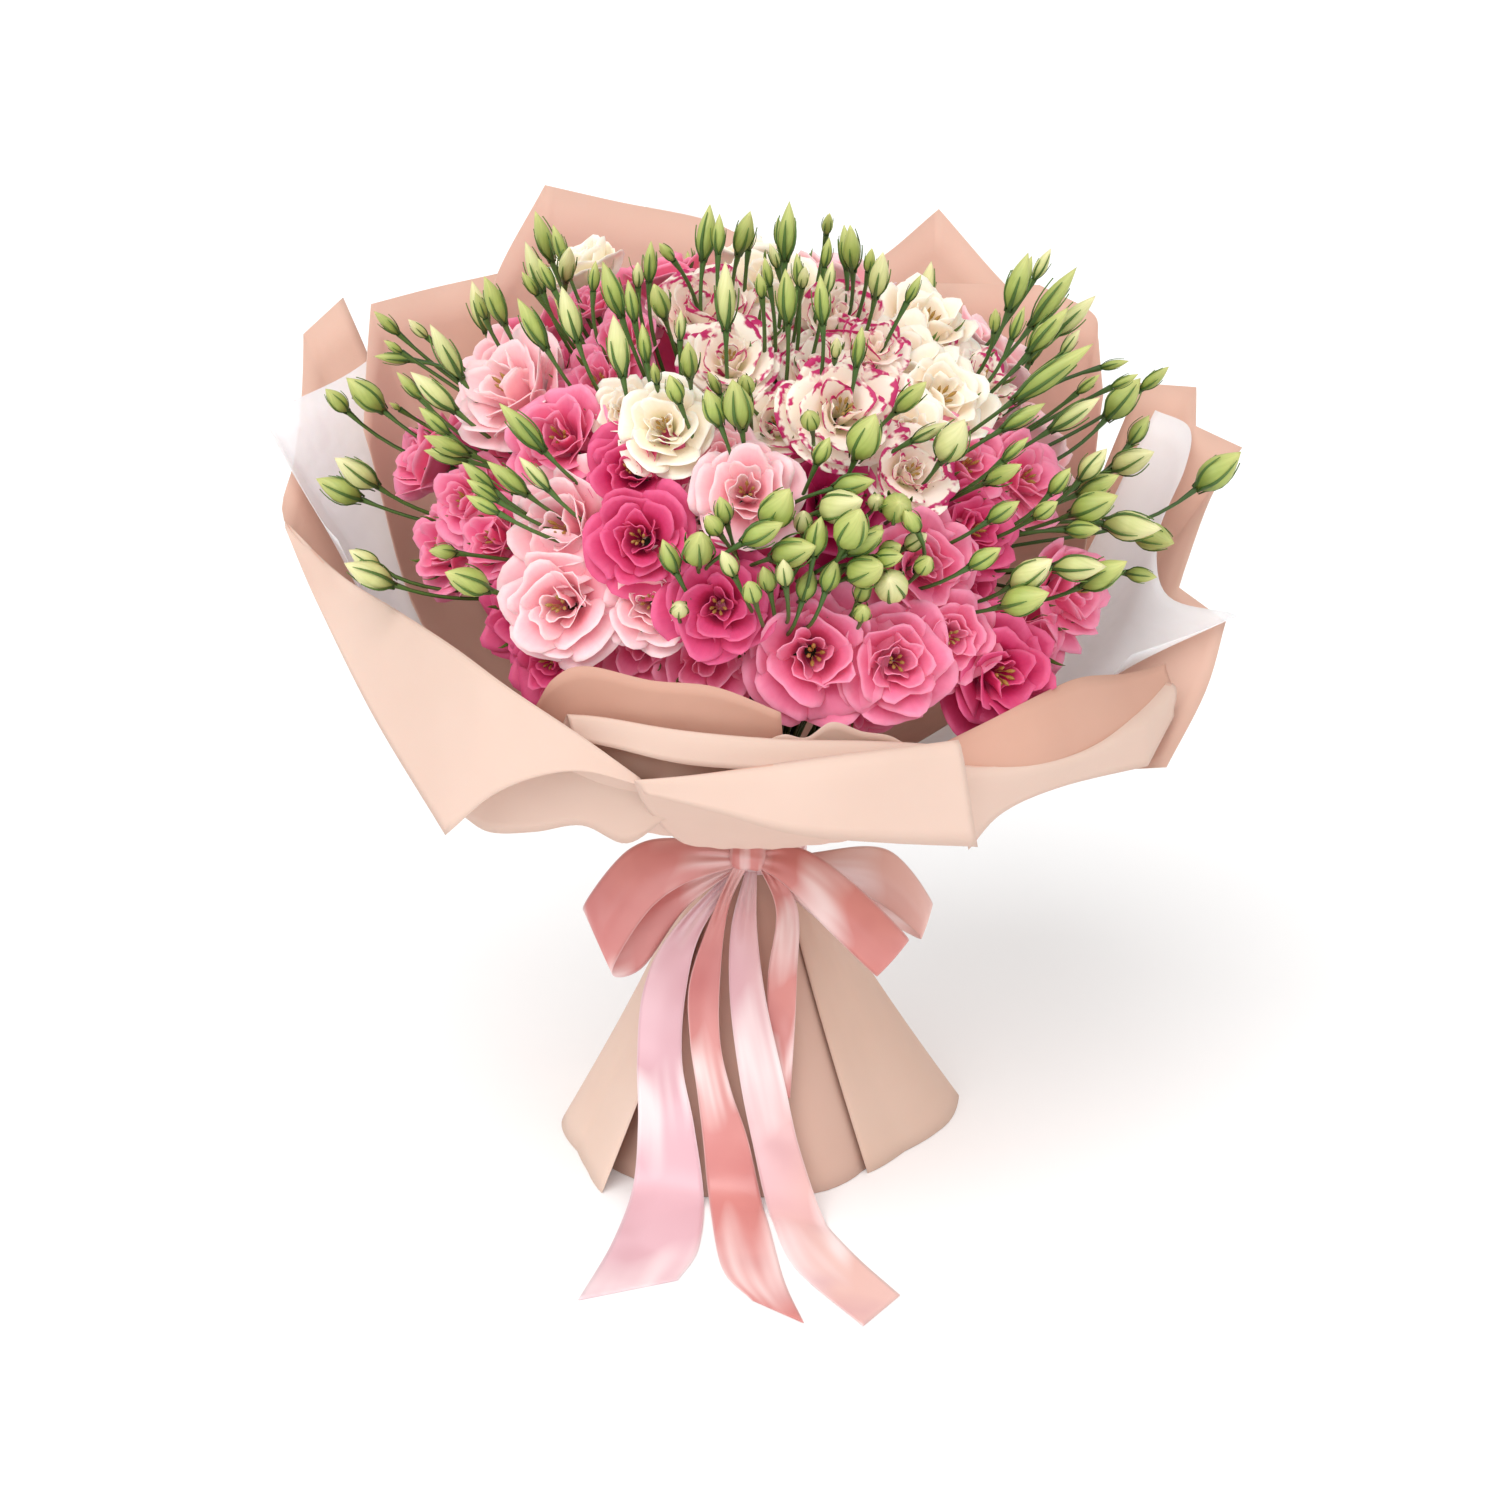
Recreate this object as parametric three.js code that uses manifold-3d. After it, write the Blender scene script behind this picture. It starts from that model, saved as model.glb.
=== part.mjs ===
// A wrapped bouquet of lisianthus, standing on the cut ends of its stems and on the paper skirt
// round them.
//
// Nineteen stems cross at the tie and fan out above it. Each forks into stalks that carry double
// blooms and furled buds. Sheets of blush paper and of white tissue make the funnel round the
// flowers, three more sheets make the skirt below the tie, and two satin ribbons, one rose and one
// pale, hold everything and end in a bow with long tails.
//
// Millimetres. The origin is the middle of the cut ends, on the surface that the bouquet stands on.
// +Z is up, +X is right and -Y is the front. Turns are in degrees round the axis, from 0 at the
// front towards +90 at the right.

import * as THREE from 'three';
import { mergeVertices } from 'three/addons/utils/BufferGeometryUtils.js';
import Module from 'manifold-3d';

const wasm = await Module();
wasm.setup();

// ---- Driving dimensions -------------------------------------------------------------------------

const TIE_HEIGHT = 190; // where the stems cross and the ribbon holds them
const DOME = { height: 340, side: 215, front: 215, back: 165, up: 218 }; // the round of open blooms
const STEM_RADIUS = 3.1;
const STEM_SIDES = 4;
const STEM_PITCH = 4.9; // between stems at the tie, where they press into each other
const STEM_RINGS = [
  { count: 1, foot: 0, rise: 90, twist: 0 },
  { count: 6, foot: 24, rise: 58, twist: 50 },
  { count: 12, foot: 46, rise: 14, twist: 60 },
];
const FORK_DEPTH = 0.5; // share of the dome's radius at which a stem forks
const STALK_PITCH = 0.045; // between stalks that leave a stem, as a share of its length above the tie
const CLEARANCE = 0.3; // left between pieces that touch
const CUT_CLEARANCE = 0.45; // left round a stalk that passes between petals

const BLOOM_DEPTH = 1.15; // from the rim down to the calyx, in bloom radii
const STALK_RADIUS = 1.3;
const STALK_SIDES = 3;
const BUD_SIDES = 4;
const BUD_LENGTH = 33;
const BUD_STAND_OFFS = [18, 26, 10, 34]; // how far a bud's calyx stands above the round of blooms
const BUD_ROOM = 11; // between the middles of two buds

const PAPER = 0.8; // thickness of paper, tissue and ribbon
const NECK_RADIUS = 18.2; // of the innermost sheet at the tie
const LAYER_PITCH = 1.7; // from one gathered sheet to the next at the tie
const SKIRT_LAYER = 7; // the skirt's sheets lie outside those of the funnel
const SKIRT_FLARE = 1.15;
const BAND = { radius: 33.7, top: 190, bottom: 171, thickness: 1.4 };

// The picture that the bouquet is laid out from: 1500 pixels square, 0.6 mm to the pixel at the
// axis, seen from the front with the eye 22 degrees above the horizon.
const PICTURE = { middle: 750, scale: 0.6, distance: 3375, elevation: 22, height: 238 };

// ---- Points taken from the picture --------------------------------------------------------------

const radians = THREE.MathUtils.degToRad;
const vec = (x, y, z) => new THREE.Vector3(x, y, z);
const LOOK = vec(0, Math.cos(radians(PICTURE.elevation)), -Math.sin(radians(PICTURE.elevation)));
const PICTURE_UP = vec(0, Math.sin(radians(PICTURE.elevation)), Math.cos(radians(PICTURE.elevation)));
const EYE = vec(0, 0, PICTURE.height).addScaledVector(LOOK, -PICTURE.distance);

// The point that is seen at a pixel, so many millimetres nearer to the eye than the axis.
function seen([px, py], near) {
  return LOOK.clone()
    .multiplyScalar(PICTURE.distance)
    .add(vec((px - PICTURE.middle) * PICTURE.scale, 0, 0))
    .addScaledVector(PICTURE_UP, (PICTURE.middle - py) * PICTURE.scale)
    .multiplyScalar(1 - near / PICTURE.distance)
    .add(EYE);
}

// The first point from the eye, at a pixel, where outside(point) falls to zero, or where it comes
// closest.
function firstSeen(pixel, outside) {
  const NEAREST = 420;
  const STEP = 6;
  let best = -NEAREST;
  let least = Infinity;
  for (let near = NEAREST; near > -NEAREST; near -= STEP) {
    const value = outside(seen(pixel, near));
    if (value < least) [least, best] = [value, near];
    if (value <= 0) {
      let [far, close] = [near, near + STEP];
      for (let i = 0; i < 24; i++) {
        const half = (far + close) / 2;
        if (outside(seen(pixel, half)) <= 0) far = half;
        else close = half;
      }
      return seen(pixel, far);
    }
  }
  return seen(pixel, best);
}

// ---- The round of blooms ------------------------------------------------------------------------

const domeRadii = (y) => [DOME.side, y < 0 ? DOME.front : DOME.back, DOME.up];

// Below 0 inside the dome, above 0 outside it, for a dome grown by so many millimetres.
const outsideDome = (grow) => (p) => {
  const [a, b, c] = domeRadii(p.y).map((r) => r + grow);
  return (p.x / a) ** 2 + (p.y / b) ** 2 + ((p.z - DOME.height) / c) ** 2 - 1;
};

function domeNormal(p) {
  const [a, b, c] = domeRadii(p.y);
  return vec(p.x / a ** 2, p.y / b ** 2, (p.z - DOME.height) / c ** 2).normalize();
}

function domePoint(turn, rise, share = 1) {
  const across = Math.cos(radians(rise));
  const [x, y] = [Math.sin(radians(turn)) * across, -Math.cos(radians(turn)) * across];
  const [a, b, c] = domeRadii(y);
  return vec(x * a * share, y * b * share, DOME.height + Math.sin(radians(rise)) * c * share);
}

// ---- Solids -------------------------------------------------------------------------------------

// A closed solid from a three.js geometry, with each of its vertices moved by place(point).
function solid(geometry, place) {
  const bare = geometry.clone();
  bare.deleteAttribute('normal');
  bare.deleteAttribute('uv');
  const merged = mergeVertices(bare, 1e-5);
  const position = merged.getAttribute('position');
  for (let i = 0; i < position.count; i++) {
    const p = place(vec().fromBufferAttribute(position, i));
    position.setXYZ(i, p.x, p.y, p.z);
  }
  const corners = [];
  const index = merged.index.array;
  for (let i = 0; i < index.length; i += 3) {
    const [a, b, c] = index.slice(i, i + 3);
    if (a !== b && b !== c && c !== a) corners.push(a, b, c);
  }
  const build = (triangles) =>
    new wasm.Manifold(
      new wasm.Mesh({
        numProp: 3,
        vertProperties: Float32Array.from(position.array),
        triVerts: Uint32Array.from(triangles),
      }),
    );
  const made = build(corners);
  return made.volume() > 0 ? made : build(corners.reverse());
}

// The largest body of a solid, without the scraps that a cut leaves.
function largest(made) {
  const bodies = made.decompose();
  return bodies.reduce((a, b) => (b.volume() > a.volume() ? b : a), bodies[0]);
}

const joined = (solids) => wasm.Manifold.union(solids);

// A solid without the sealed hollows that joining can leave in it.
function filled(made) {
  const bodies = made.decompose();
  return bodies.length === 1 ? made : joined(bodies.filter((body) => body.volume() > 0));
}

// A smooth line through hand-set points.
const through = (points) => new THREE.CatmullRomCurve3(points, false, 'catmullrom', 0.5);

// A stalk or bud: a profile of [distance along the line, radius] turned round a curve.
function alongCurve(curve, profile, sides, grow = 0) {
  const length = curve.getLength();
  const outline = profile.map(([at, radius]) => new THREE.Vector2(radius && radius + grow, at));
  const lathe = new THREE.LatheGeometry(
    [new THREE.Vector2(0, outline[0].y), ...outline, new THREE.Vector2(0, outline.at(-1).y + grow)],
    sides,
  );
  return solid(lathe, (p) => {
    const t = THREE.MathUtils.clamp(p.y / length, 0, 1);
    const tangent = curve.getTangentAt(t);
    const side = vec(1, 0.3, 0).cross(tangent).normalize();
    const other = tangent.clone().cross(side);
    return curve
      .getPointAt(t)
      .addScaledVector(tangent, p.y - t * length)
      .addScaledVector(side, p.x)
      .addScaledVector(other, p.z);
  });
}

// A stalk through hand-set rings, each square to its own direction. With a tip it closes to a point.
function ringed(rings, sides, tip) {
  const last = rings.length - 1;
  const outline = rings.map((_, i) => new THREE.Vector2(1, i));
  const end = new THREE.Vector2(0, tip ? last + 1 : last);
  const lathe = new THREE.LatheGeometry([new THREE.Vector2(0, 0), ...outline, end], sides);
  return solid(lathe, (p) => {
    const i = Math.round(p.y);
    if (i > last) return tip.clone();
    const { at, radius, along } = rings[i];
    const side = vec(1, 0.3, 0).cross(along).normalize();
    const other = along.clone().cross(side).normalize();
    return at.clone().addScaledVector(side, p.x * radius).addScaledVector(other, p.z * radius);
  });
}

// A box one cell deep, whose two broad faces are split into triangles along the same lines.
function slab(across, along) {
  const box = new THREE.BoxGeometry(1, 1, 1, across, along, 1);
  const { start, count } = box.groups.at(-1);
  const corners = box.index.array;
  for (let i = start; i < start + count; i += 6) {
    const [a, b, d, , c] = corners.slice(i, i + 5);
    corners.set([a, b, c, a, c, d], i);
  }
  return box;
}

// A thin sheet over surface(u, v), with u and v from 0 to 1.
function sheet(surface, [across, along], thickness = PAPER) {
  const STEP = 1e-3;
  return solid(slab(across, along), (p) => {
    const [u, v] = [p.x + 0.5, p.y + 0.5];
    const [u0, u1] = [Math.max(u - STEP, 0), Math.min(u + STEP, 1)];
    const [v0, v1] = [Math.max(v - STEP, 0), Math.min(v + STEP, 1)];
    const normal = surface(u1, v)
      .sub(surface(u0, v))
      .cross(surface(u, v1).sub(surface(u, v0)))
      .normalize();
    return surface(u, v).addScaledVector(normal, p.z * thickness);
  });
}

// ---- Stems --------------------------------------------------------------------------------------

// A straight stretch of stem, with flat ends.
function strut(from, to, radius) {
  const curve = new THREE.LineCurve3(from, to);
  return alongCurve(curve, [[0, radius], [curve.getLength(), radius]], STEM_SIDES);
}

// Each stem runs straight from its cut end through the tie, as in a spiral hand-tied bunch, and
// bends there to its fork. At the tie the stems are pressed into one.
function stems() {
  const made = [];
  STEM_RINGS.forEach(({ count, foot, rise, twist }, ring) => {
    for (let i = 0; i < count; i++) {
      const turn = (360 / count) * (i + ring / 2);
      const at = (angle, radius, z) =>
        vec(Math.sin(radians(angle)) * radius, -Math.cos(radians(angle)) * radius, z);
      const tie = at(turn, ring * STEM_PITCH, TIE_HEIGHT);
      const fork = domePoint(turn, rise, FORK_DEPTH);
      const cut = at(turn - twist, foot, 0);
      const lower = strut(cut.clone().lerp(tie, -0.03), tie, STEM_RADIUS).trimByPlane([0, 0, 1], 0);
      made.push({ tie, fork, stalks: 0, solids: [lower, strut(tie, fork, STEM_RADIUS * 0.75)] });
    }
  });
  return made;
}

const STEMS = stems();

// Stems pressed together under the ribbon.
const PRESSED = { radius: NECK_RADIUS - 1.2, height: 30, sides: 12 };

function pressedStems() {
  const { radius, height, sides } = PRESSED;
  const geometry = new THREE.CylinderGeometry(radius, radius, height, sides);
  return solid(geometry, (p) => vec(p.x, p.z, TIE_HEIGHT - p.y));
}

// Where the next stalk leaves the stem whose fork is nearest. The stalks of a stem leave it one
// below the other.
function nextStalk(point) {
  const stem = STEMS.reduce((a, b) => (b.fork.distanceTo(point) < a.fork.distanceTo(point) ? b : a));
  return stem.fork.clone().lerp(stem.tie, STALK_PITCH * (0.4 + stem.stalks++));
}

// ---- Blooms -------------------------------------------------------------------------------------

const COLOURS = {
  cream: 0xf6ead0,
  picotee: 0xf3dcd0,
  blush: 0xf6b9c4,
  pink: 0xe97ba0,
  rose: 0xd23f7a,
  magenta: 0xb52560,
};

// Each group of blooms of one variety that press together. at is where a bloom's face is seen,
// across is its width in millimetres, sink is how far it sits below the round of blooms, and facing
// is how far it leans to the eye.
const BLOOM_GROUPS = {
  blooms_cream_top_left: { variety: 'cream', blooms: [{ at: [574, 246], across: 44, shape: 'cup' }] },
  bloom_pink_furled: { variety: 'pink', blooms: [{ at: [584, 292], across: 28, shape: 'cup' }] },
  blooms_blush_upper_left: {
    variety: 'blush',
    blooms: [
      { at: [487, 356], across: 62, shape: 'cup' },
      { at: [508, 386], across: 66, facing: 0.1 },
    ],
  },
  bloom_pink_upper_left: {
    variety: 'pink',
    blooms: [{ at: [520, 333], across: 46, sink: 14, shape: 'small' }],
  },
  blooms_pink_upper: {
    variety: 'pink',
    blooms: [
      { at: [588, 366], across: 52 },
      { at: [612, 322], across: 40, sink: 8, shape: 'small' },
    ],
  },
  blooms_cream_left: {
    variety: 'cream',
    blooms: [
      { at: [619, 402], across: 40, sink: 6 },
      { at: [665, 428], across: 52, facing: 0.55 },
    ],
  },
  bloom_pink_left_open: { variety: 'pink', blooms: [{ at: [557, 434], across: 60, facing: 0.4 }] },
  bloom_pink_left_back: {
    variety: 'pink',
    blooms: [{ at: [484, 420], across: 44, sink: 10, shape: 'small' }],
  },
  blooms_rose_left: {
    variety: 'rose',
    blooms: [
      { at: [630, 466], across: 52, facing: 0.4 },
      { at: [640, 538], across: 54, facing: 0.4 },
    ],
  },
  bloom_pink_left_cup: { variety: 'pink', blooms: [{ at: [402, 448], across: 50, shape: 'cup' }] },
  blooms_pink_left_edge: {
    variety: 'pink',
    blooms: [
      { at: [474, 535], across: 46, sink: 4 },
      { at: [453, 497], across: 48, sink: 4 },
      { at: [418, 543], across: 56 },
    ],
  },
  blooms_blush_front_left: {
    variety: 'blush',
    blooms: [
      { at: [558, 526], across: 64, facing: 0.2 },
      { at: [560, 605], across: 64, facing: 0.5 },
    ],
  },
  bloom_blush_front_cup: { variety: 'blush', blooms: [{ at: [647, 602], across: 52, facing: 0.5 }] },
  blooms_rose_front_left: {
    variety: 'rose',
    blooms: [
      { at: [498, 622], across: 50, sink: 4 },
      { at: [541, 665], across: 46, sink: 4 },
    ],
  },
  blooms_pink_front_under: {
    variety: 'pink',
    blooms: [
      { at: [622, 655], across: 54, sink: 12, shape: 'small' },
      { at: [700, 668], across: 58, sink: 12, shape: 'small' },
    ],
  },
  bloom_rose_front: { variety: 'rose', blooms: [{ at: [719, 606], across: 58, facing: 0.5 }] },
  blooms_pink_front: {
    variety: 'pink',
    blooms: [
      { at: [762, 655], across: 40, sink: 12, shape: 'small' },
      { at: [815, 655], across: 70, facing: 0.6 },
    ],
  },
  blooms_pink_front_right: {
    variety: 'pink',
    blooms: [
      { at: [895, 662], across: 60, facing: 0.6 },
      { at: [878, 718], across: 42, sink: 10, shape: 'small' },
    ],
  },
  blooms_pink_right_ruffled: {
    variety: 'pink',
    blooms: [
      { at: [927, 566], across: 62, facing: 0.5 },
      { at: [953, 638], across: 52, facing: 0.4 },
    ],
  },
  bloom_rose_right_low: { variety: 'rose', blooms: [{ at: [1000, 674], across: 66, facing: 0.4 }] },
  blooms_pink_right_edge: {
    variety: 'pink',
    blooms: [
      { at: [1058, 646], across: 52 },
      { at: [1084, 592], across: 54 },
    ],
  },
  blooms_rose_right: {
    variety: 'rose',
    blooms: [
      { at: [990, 588], across: 42, sink: 8, shape: 'small' },
      { at: [988, 526], across: 52, sink: 2 },
    ],
  },
  blooms_pink_right_upper: {
    variety: 'pink',
    blooms: [
      { at: [984, 456], across: 56 },
      { at: [1036, 474], across: 50, sink: 2 },
    ],
  },
  bloom_magenta_centre: {
    variety: 'magenta',
    blooms: [{ at: [838, 490], across: 60, sink: 8, shape: 'small' }],
  },
  blooms_blush_centre: {
    variety: 'blush',
    blooms: [
      { at: [747, 492], across: 54, facing: 0.3 },
      { at: [692, 506], across: 40, sink: 4 },
      { at: [722, 446], across: 36, sink: 8, shape: 'small' },
    ],
  },
  blooms_picotee_top_left: {
    variety: 'picotee',
    blooms: [
      { at: [702, 290], across: 56, shape: 'cup' },
      { at: [757, 312], across: 42, sink: 6 },
      { at: [728, 352], across: 48 },
    ],
  },
  bloom_cream_top: { variety: 'cream', blooms: [{ at: [776, 258], across: 52, shape: 'cup' }] },
  blooms_picotee_top: {
    variety: 'picotee',
    blooms: [
      { at: [845, 302], across: 48, shape: 'cup' },
      { at: [828, 348], across: 48, sink: 4 },
      { at: [880, 336], across: 38, sink: 4, shape: 'small' },
    ],
  },
  blooms_picotee_centre: {
    variety: 'picotee',
    blooms: [
      { at: [780, 408], across: 46 },
      { at: [842, 410], across: 60, facing: 0.35 },
      { at: [890, 378], across: 42, sink: 6 },
    ],
  },
  blooms_cream_right: {
    variety: 'cream',
    blooms: [
      { at: [940, 306], across: 58 },
      { at: [918, 340], across: 62 },
    ],
  },
  blooms_cream_right_low: {
    variety: 'cream',
    blooms: [
      { at: [954, 385], across: 62 },
      { at: [918, 422], across: 46, sink: 6 },
    ],
  },
  bloom_picotee_right: { variety: 'picotee', blooms: [{ at: [1003, 364], across: 46 }] },
  bloom_picotee_low_right: {
    variety: 'picotee',
    blooms: [{ at: [913, 470], across: 46, facing: 0.3 }],
  },
  bloom_rose_gap_left: {
    variety: 'rose',
    blooms: [{ at: [776, 585], across: 44, sink: 14, shape: 'small' }],
  },
  bloom_rose_gap_right: {
    variety: 'magenta',
    blooms: [{ at: [868, 588], across: 46, sink: 16, shape: 'small' }],
  },
  blooms_cream_back: {
    variety: 'cream',
    blooms: [
      { turn: 180, rise: 66, across: 58, shape: 'small' },
      { turn: 180, rise: 49, across: 62, shape: 'small' },
    ],
  },
  blooms_pink_back_left: {
    variety: 'pink',
    blooms: [
      { turn: -145, rise: 64, across: 60, shape: 'small' },
      { turn: -157, rise: 48, across: 62, shape: 'small' },
      { turn: -134, rise: 47, across: 62, shape: 'small' },
      { turn: -141, rise: 30, across: 64, shape: 'small' },
      { turn: -128, rise: 28, across: 66, sink: 2, shape: 'small' },
      { turn: -113, rise: 41, across: 64, sink: 3, shape: 'small' },
      { turn: -112, rise: 22, across: 62, sink: 9, shape: 'small' },
    ],
  },
  blooms_blush_back_right: {
    variety: 'blush',
    blooms: [
      { turn: 145, rise: 64, across: 60, shape: 'small' },
      { turn: 157, rise: 48, across: 60, shape: 'small' },
      { turn: 134, rise: 47, across: 62, shape: 'small' },
      { turn: 141, rise: 30, across: 64, shape: 'small' },
      { turn: 128, rise: 28, across: 66, sink: 2, shape: 'small' },
      { turn: 113, rise: 41, across: 64, sink: 3, shape: 'small' },
      { turn: 112, rise: 22, across: 62, sink: 9, shape: 'small' },
    ],
  },
  blooms_rose_back: {
    variety: 'rose',
    blooms: [
      { turn: -171, rise: 31, across: 64, shape: 'small' },
      { turn: 171, rise: 31, across: 64, shape: 'small' },
    ],
  },
};

// Rows of petals from the calyx to the heart, in bloom radii: the radius and height at a petal's
// tip, then between two petals. The inner row stands half a petal round from the outer one.
const BLOOM_ROWS = {
  open: [
    { tip: [0.15, -1.15], notch: [0.15, -1.15] },
    { tip: [1.0, -0.16], notch: [0.8, -0.3] },
    { tip: [0.52, -0.42], notch: [0.5, -0.44] },
    { tip: [0.56, -0.05], notch: [0.7, 0.04] },
    { tip: [0.2, -0.34], notch: [0.22, -0.3] },
  ],
  cup: [
    { tip: [0.15, -1.15], notch: [0.15, -1.15] },
    { tip: [0.96, 0.04], notch: [0.78, -0.1] },
    { tip: [0.62, -0.3], notch: [0.6, -0.32] },
    { tip: [0.46, -0.02], notch: [0.6, 0.08] },
    { tip: [0.18, -0.26], notch: [0.2, -0.24] },
  ],
  small: [
    { tip: [0.15, -1.15], notch: [0.15, -1.15] },
    { tip: [1.0, -0.16], notch: [0.8, -0.24] },
    { tip: [0.5, -0.4], notch: [0.56, -0.36] },
    { tip: [0.4, -0.05], notch: [0.5, 0.02] },
  ],
};
const PETALS = 4;

// Where a bloom sits: its face, the way that it faces and its calyx.
function bloomPlace({ at, turn, rise, across, sink = 0, facing = 0.22 }) {
  const surface = at ? firstSeen(at, outsideDome(0)) : domePoint(turn, rise);
  const out = domeNormal(surface);
  const axis = at ? out.clone().lerp(LOOK.clone().negate(), facing).normalize() : out;
  const face = surface.addScaledVector(out, -sink);
  const radius = across / 2;
  return { face, axis, radius, calyx: face.clone().addScaledVector(axis, -BLOOM_DEPTH * radius) };
}

function bloom(place, { shape = 'open' }) {
  const rows = BLOOM_ROWS[shape];
  const profile = rows.map((_, i) => new THREE.Vector2(1, i));
  const lathe = new THREE.LatheGeometry(
    [new THREE.Vector2(0, 0), ...profile, new THREE.Vector2(0, rows.length - 1)],
    PETALS * 2,
  );
  const side = place.toward.clone().cross(place.axis).normalize();
  const other = place.axis.clone().cross(side);
  return solid(lathe, (p) => {
    const angle = Math.atan2(p.x, p.z);
    const atTip = Math.round((angle / Math.PI) * PETALS) % 2 === 0;
    const [radius, height] = atTip ? rows[Math.round(p.y)].tip : rows[Math.round(p.y)].notch;
    const reach = Math.hypot(p.x, p.z) * radius * place.radius;
    return place.face
      .clone()
      .addScaledVector(side, Math.sin(angle) * reach)
      .addScaledVector(other, Math.cos(angle) * reach)
      .addScaledVector(place.axis, height * place.radius);
  });
}

const ALL_BLOOMS = Object.entries(BLOOM_GROUPS).flatMap(([group, { blooms }]) => {
  const places = blooms.map(bloomPlace);
  return blooms.map((spec, i) => {
    // One petal of each bloom reaches for the next bloom of its group.
    const neighbour = places[i === 0 ? 1 : i - 1];
    const toward = neighbour ? neighbour.face.clone().sub(places[i].face) : vec(0.2, 0.1, 1);
    const place = { ...places[i], toward };
    return { group, spec, place, stalk: nextStalk(place.calyx) };
  });
});

// The stalk that carries a bloom, widening to the calyx that it sits in.
function bloomStalk({ place: { calyx, axis, radius }, stalk }, grow) {
  const seat = calyx.clone().addScaledVector(axis, -CLEARANCE);
  const rings = [
    { at: stalk, radius: STALK_RADIUS + grow, along: seat.clone().sub(stalk) },
    { at: seat, radius: radius * 0.17 + grow, along: axis },
  ];
  return ringed(rings, STALK_SIDES);
}

// How far a point is from the petals of the nearest bloom.
function petalRoom(point) {
  let room = 20;
  for (const { place } of ALL_BLOOMS) {
    const from = point.clone().sub(place.face);
    const height = from.dot(place.axis);
    if (height < -BLOOM_DEPTH * place.radius || height > 0.1 * place.radius) continue;
    const away = from.addScaledVector(place.axis, -height).length();
    const openness = THREE.MathUtils.mapLinear(height, -BLOOM_DEPTH * place.radius, 0, 0.2, 1);
    const reach = openness * place.radius;
    room = Math.min(room, away - reach);
  }
  return room;
}

// ---- Buds ---------------------------------------------------------------------------------------

// Where each bud's calyx and its tip are seen. A bud whose two points fall together looks at the eye.
const BUDS = [
  // above the blooms on the left
  [[552, 262], [536, 213]], [[565, 282], [571, 250]], [[547, 350], [517, 299]],
  [[505, 325], [486, 278]], [[622, 318], [603, 262]], [[623, 378], [613, 315]],
  [[665, 318], [655, 287]], [[690, 378], [688, 345]],
  // at the left edge
  [[400, 335], [375, 312]], [[462, 380], [430, 325]], [[385, 412], [347, 378]],
  [[348, 412], [326, 390]], [[470, 455], [425, 438]], [[378, 487], [337, 457]], [[363, 500], [316, 480]],
  [[528, 495], [488, 463]], [[545, 452], [500, 403]], [[395, 585], [345, 566]], [[490, 590], [447, 572]],
  // along the top
  [[703, 262], [711, 205]], [[738, 255], [750, 215]], [[726, 332], [726, 262]], [[785, 262], [790, 202]],
  [[788, 325], [786, 270]], [[853, 272], [850, 228]], [[875, 298], [883, 255]],
  // in the middle
  [[742, 430], [735, 380]], [[855, 460], [875, 415]], [[895, 412], [926, 384]], [[940, 462], [965, 422]],
  [[985, 483], [1020, 467]], [[765, 528], [790, 490]], [[772, 558], [814, 546]], [[820, 512], [862, 502]],
  [[843, 548], [860, 510]], [[850, 577], [882, 565]], [[896, 512], [895, 505]], [[893, 592], [888, 580]],
  [[698, 563], [698, 535]],
  // at the right edge
  [[1008, 312], [1027, 253]], [[1030, 328], [1076, 268]], [[1052, 337], [1096, 296]],
  [[1012, 402], [1092, 344]], [[1105, 420], [1140, 378]], [[1140, 390], [1168, 368]],
  [[1112, 470], [1150, 452]], [[1070, 515], [1116, 497]], [[1195, 490], [1241, 452]],
  [[1132, 530], [1172, 545]], [[1010, 587], [1052, 560]], [[1080, 587], [1126, 563]],
  [[1000, 607], [1048, 594]],
].map(([calyx, tip]) => ({ calyx, tip }));

// Buds behind the blooms, where the picture shows none.
const BACK_BUDS = { count: 6, turnStep: 22, rise: [28, 34] };

function budPlace({ calyx: calyxPixel, tip: tipPixel }, standOff) {
  const calyx = firstSeen(calyxPixel, outsideDome(standOff));
  const near = -calyx.clone().sub(vec(0, 0, PICTURE.height)).dot(LOOK);
  const flat = seen(tipPixel, near);
  const shown = flat.distanceTo(calyx);
  const length = Math.max(BUD_LENGTH, shown * 1.02);
  const hidden = Math.sqrt(length ** 2 - shown ** 2);
  const facesEye = domeNormal(calyx).dot(LOOK) < -0.2;
  const tip = flat.addScaledVector(LOOK, facesEye ? -hidden : -hidden * 0.4);
  return { calyx, tip };
}

// The least distance between two buds, at five points along each.
function budsApart(a, b) {
  let least = Infinity;
  for (let i = 0; i <= 4; i++) {
    const onA = a.calyx.clone().lerp(a.tip, i / 4);
    for (let j = 0; j <= 4; j++) {
      const onB = b.calyx.clone().lerp(b.tip, j / 4);
      least = Math.min(least, onA.distanceTo(onB));
    }
  }
  return least;
}

// Buds that are seen one before another stand at different heights, so that none runs into its
// neighbour.
function placedBuds() {
  const placed = [];
  for (const pixels of BUDS) {
    let best = { room: -1 };
    for (const standOff of BUD_STAND_OFFS) {
      const at = budPlace(pixels, standOff);
      const room = Math.min(BUD_ROOM, ...placed.map((other) => budsApart(at, other)));
      if (room > best.room) best = { room, at };
    }
    placed.push(best.at);
  }
  return placed;
}

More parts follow.
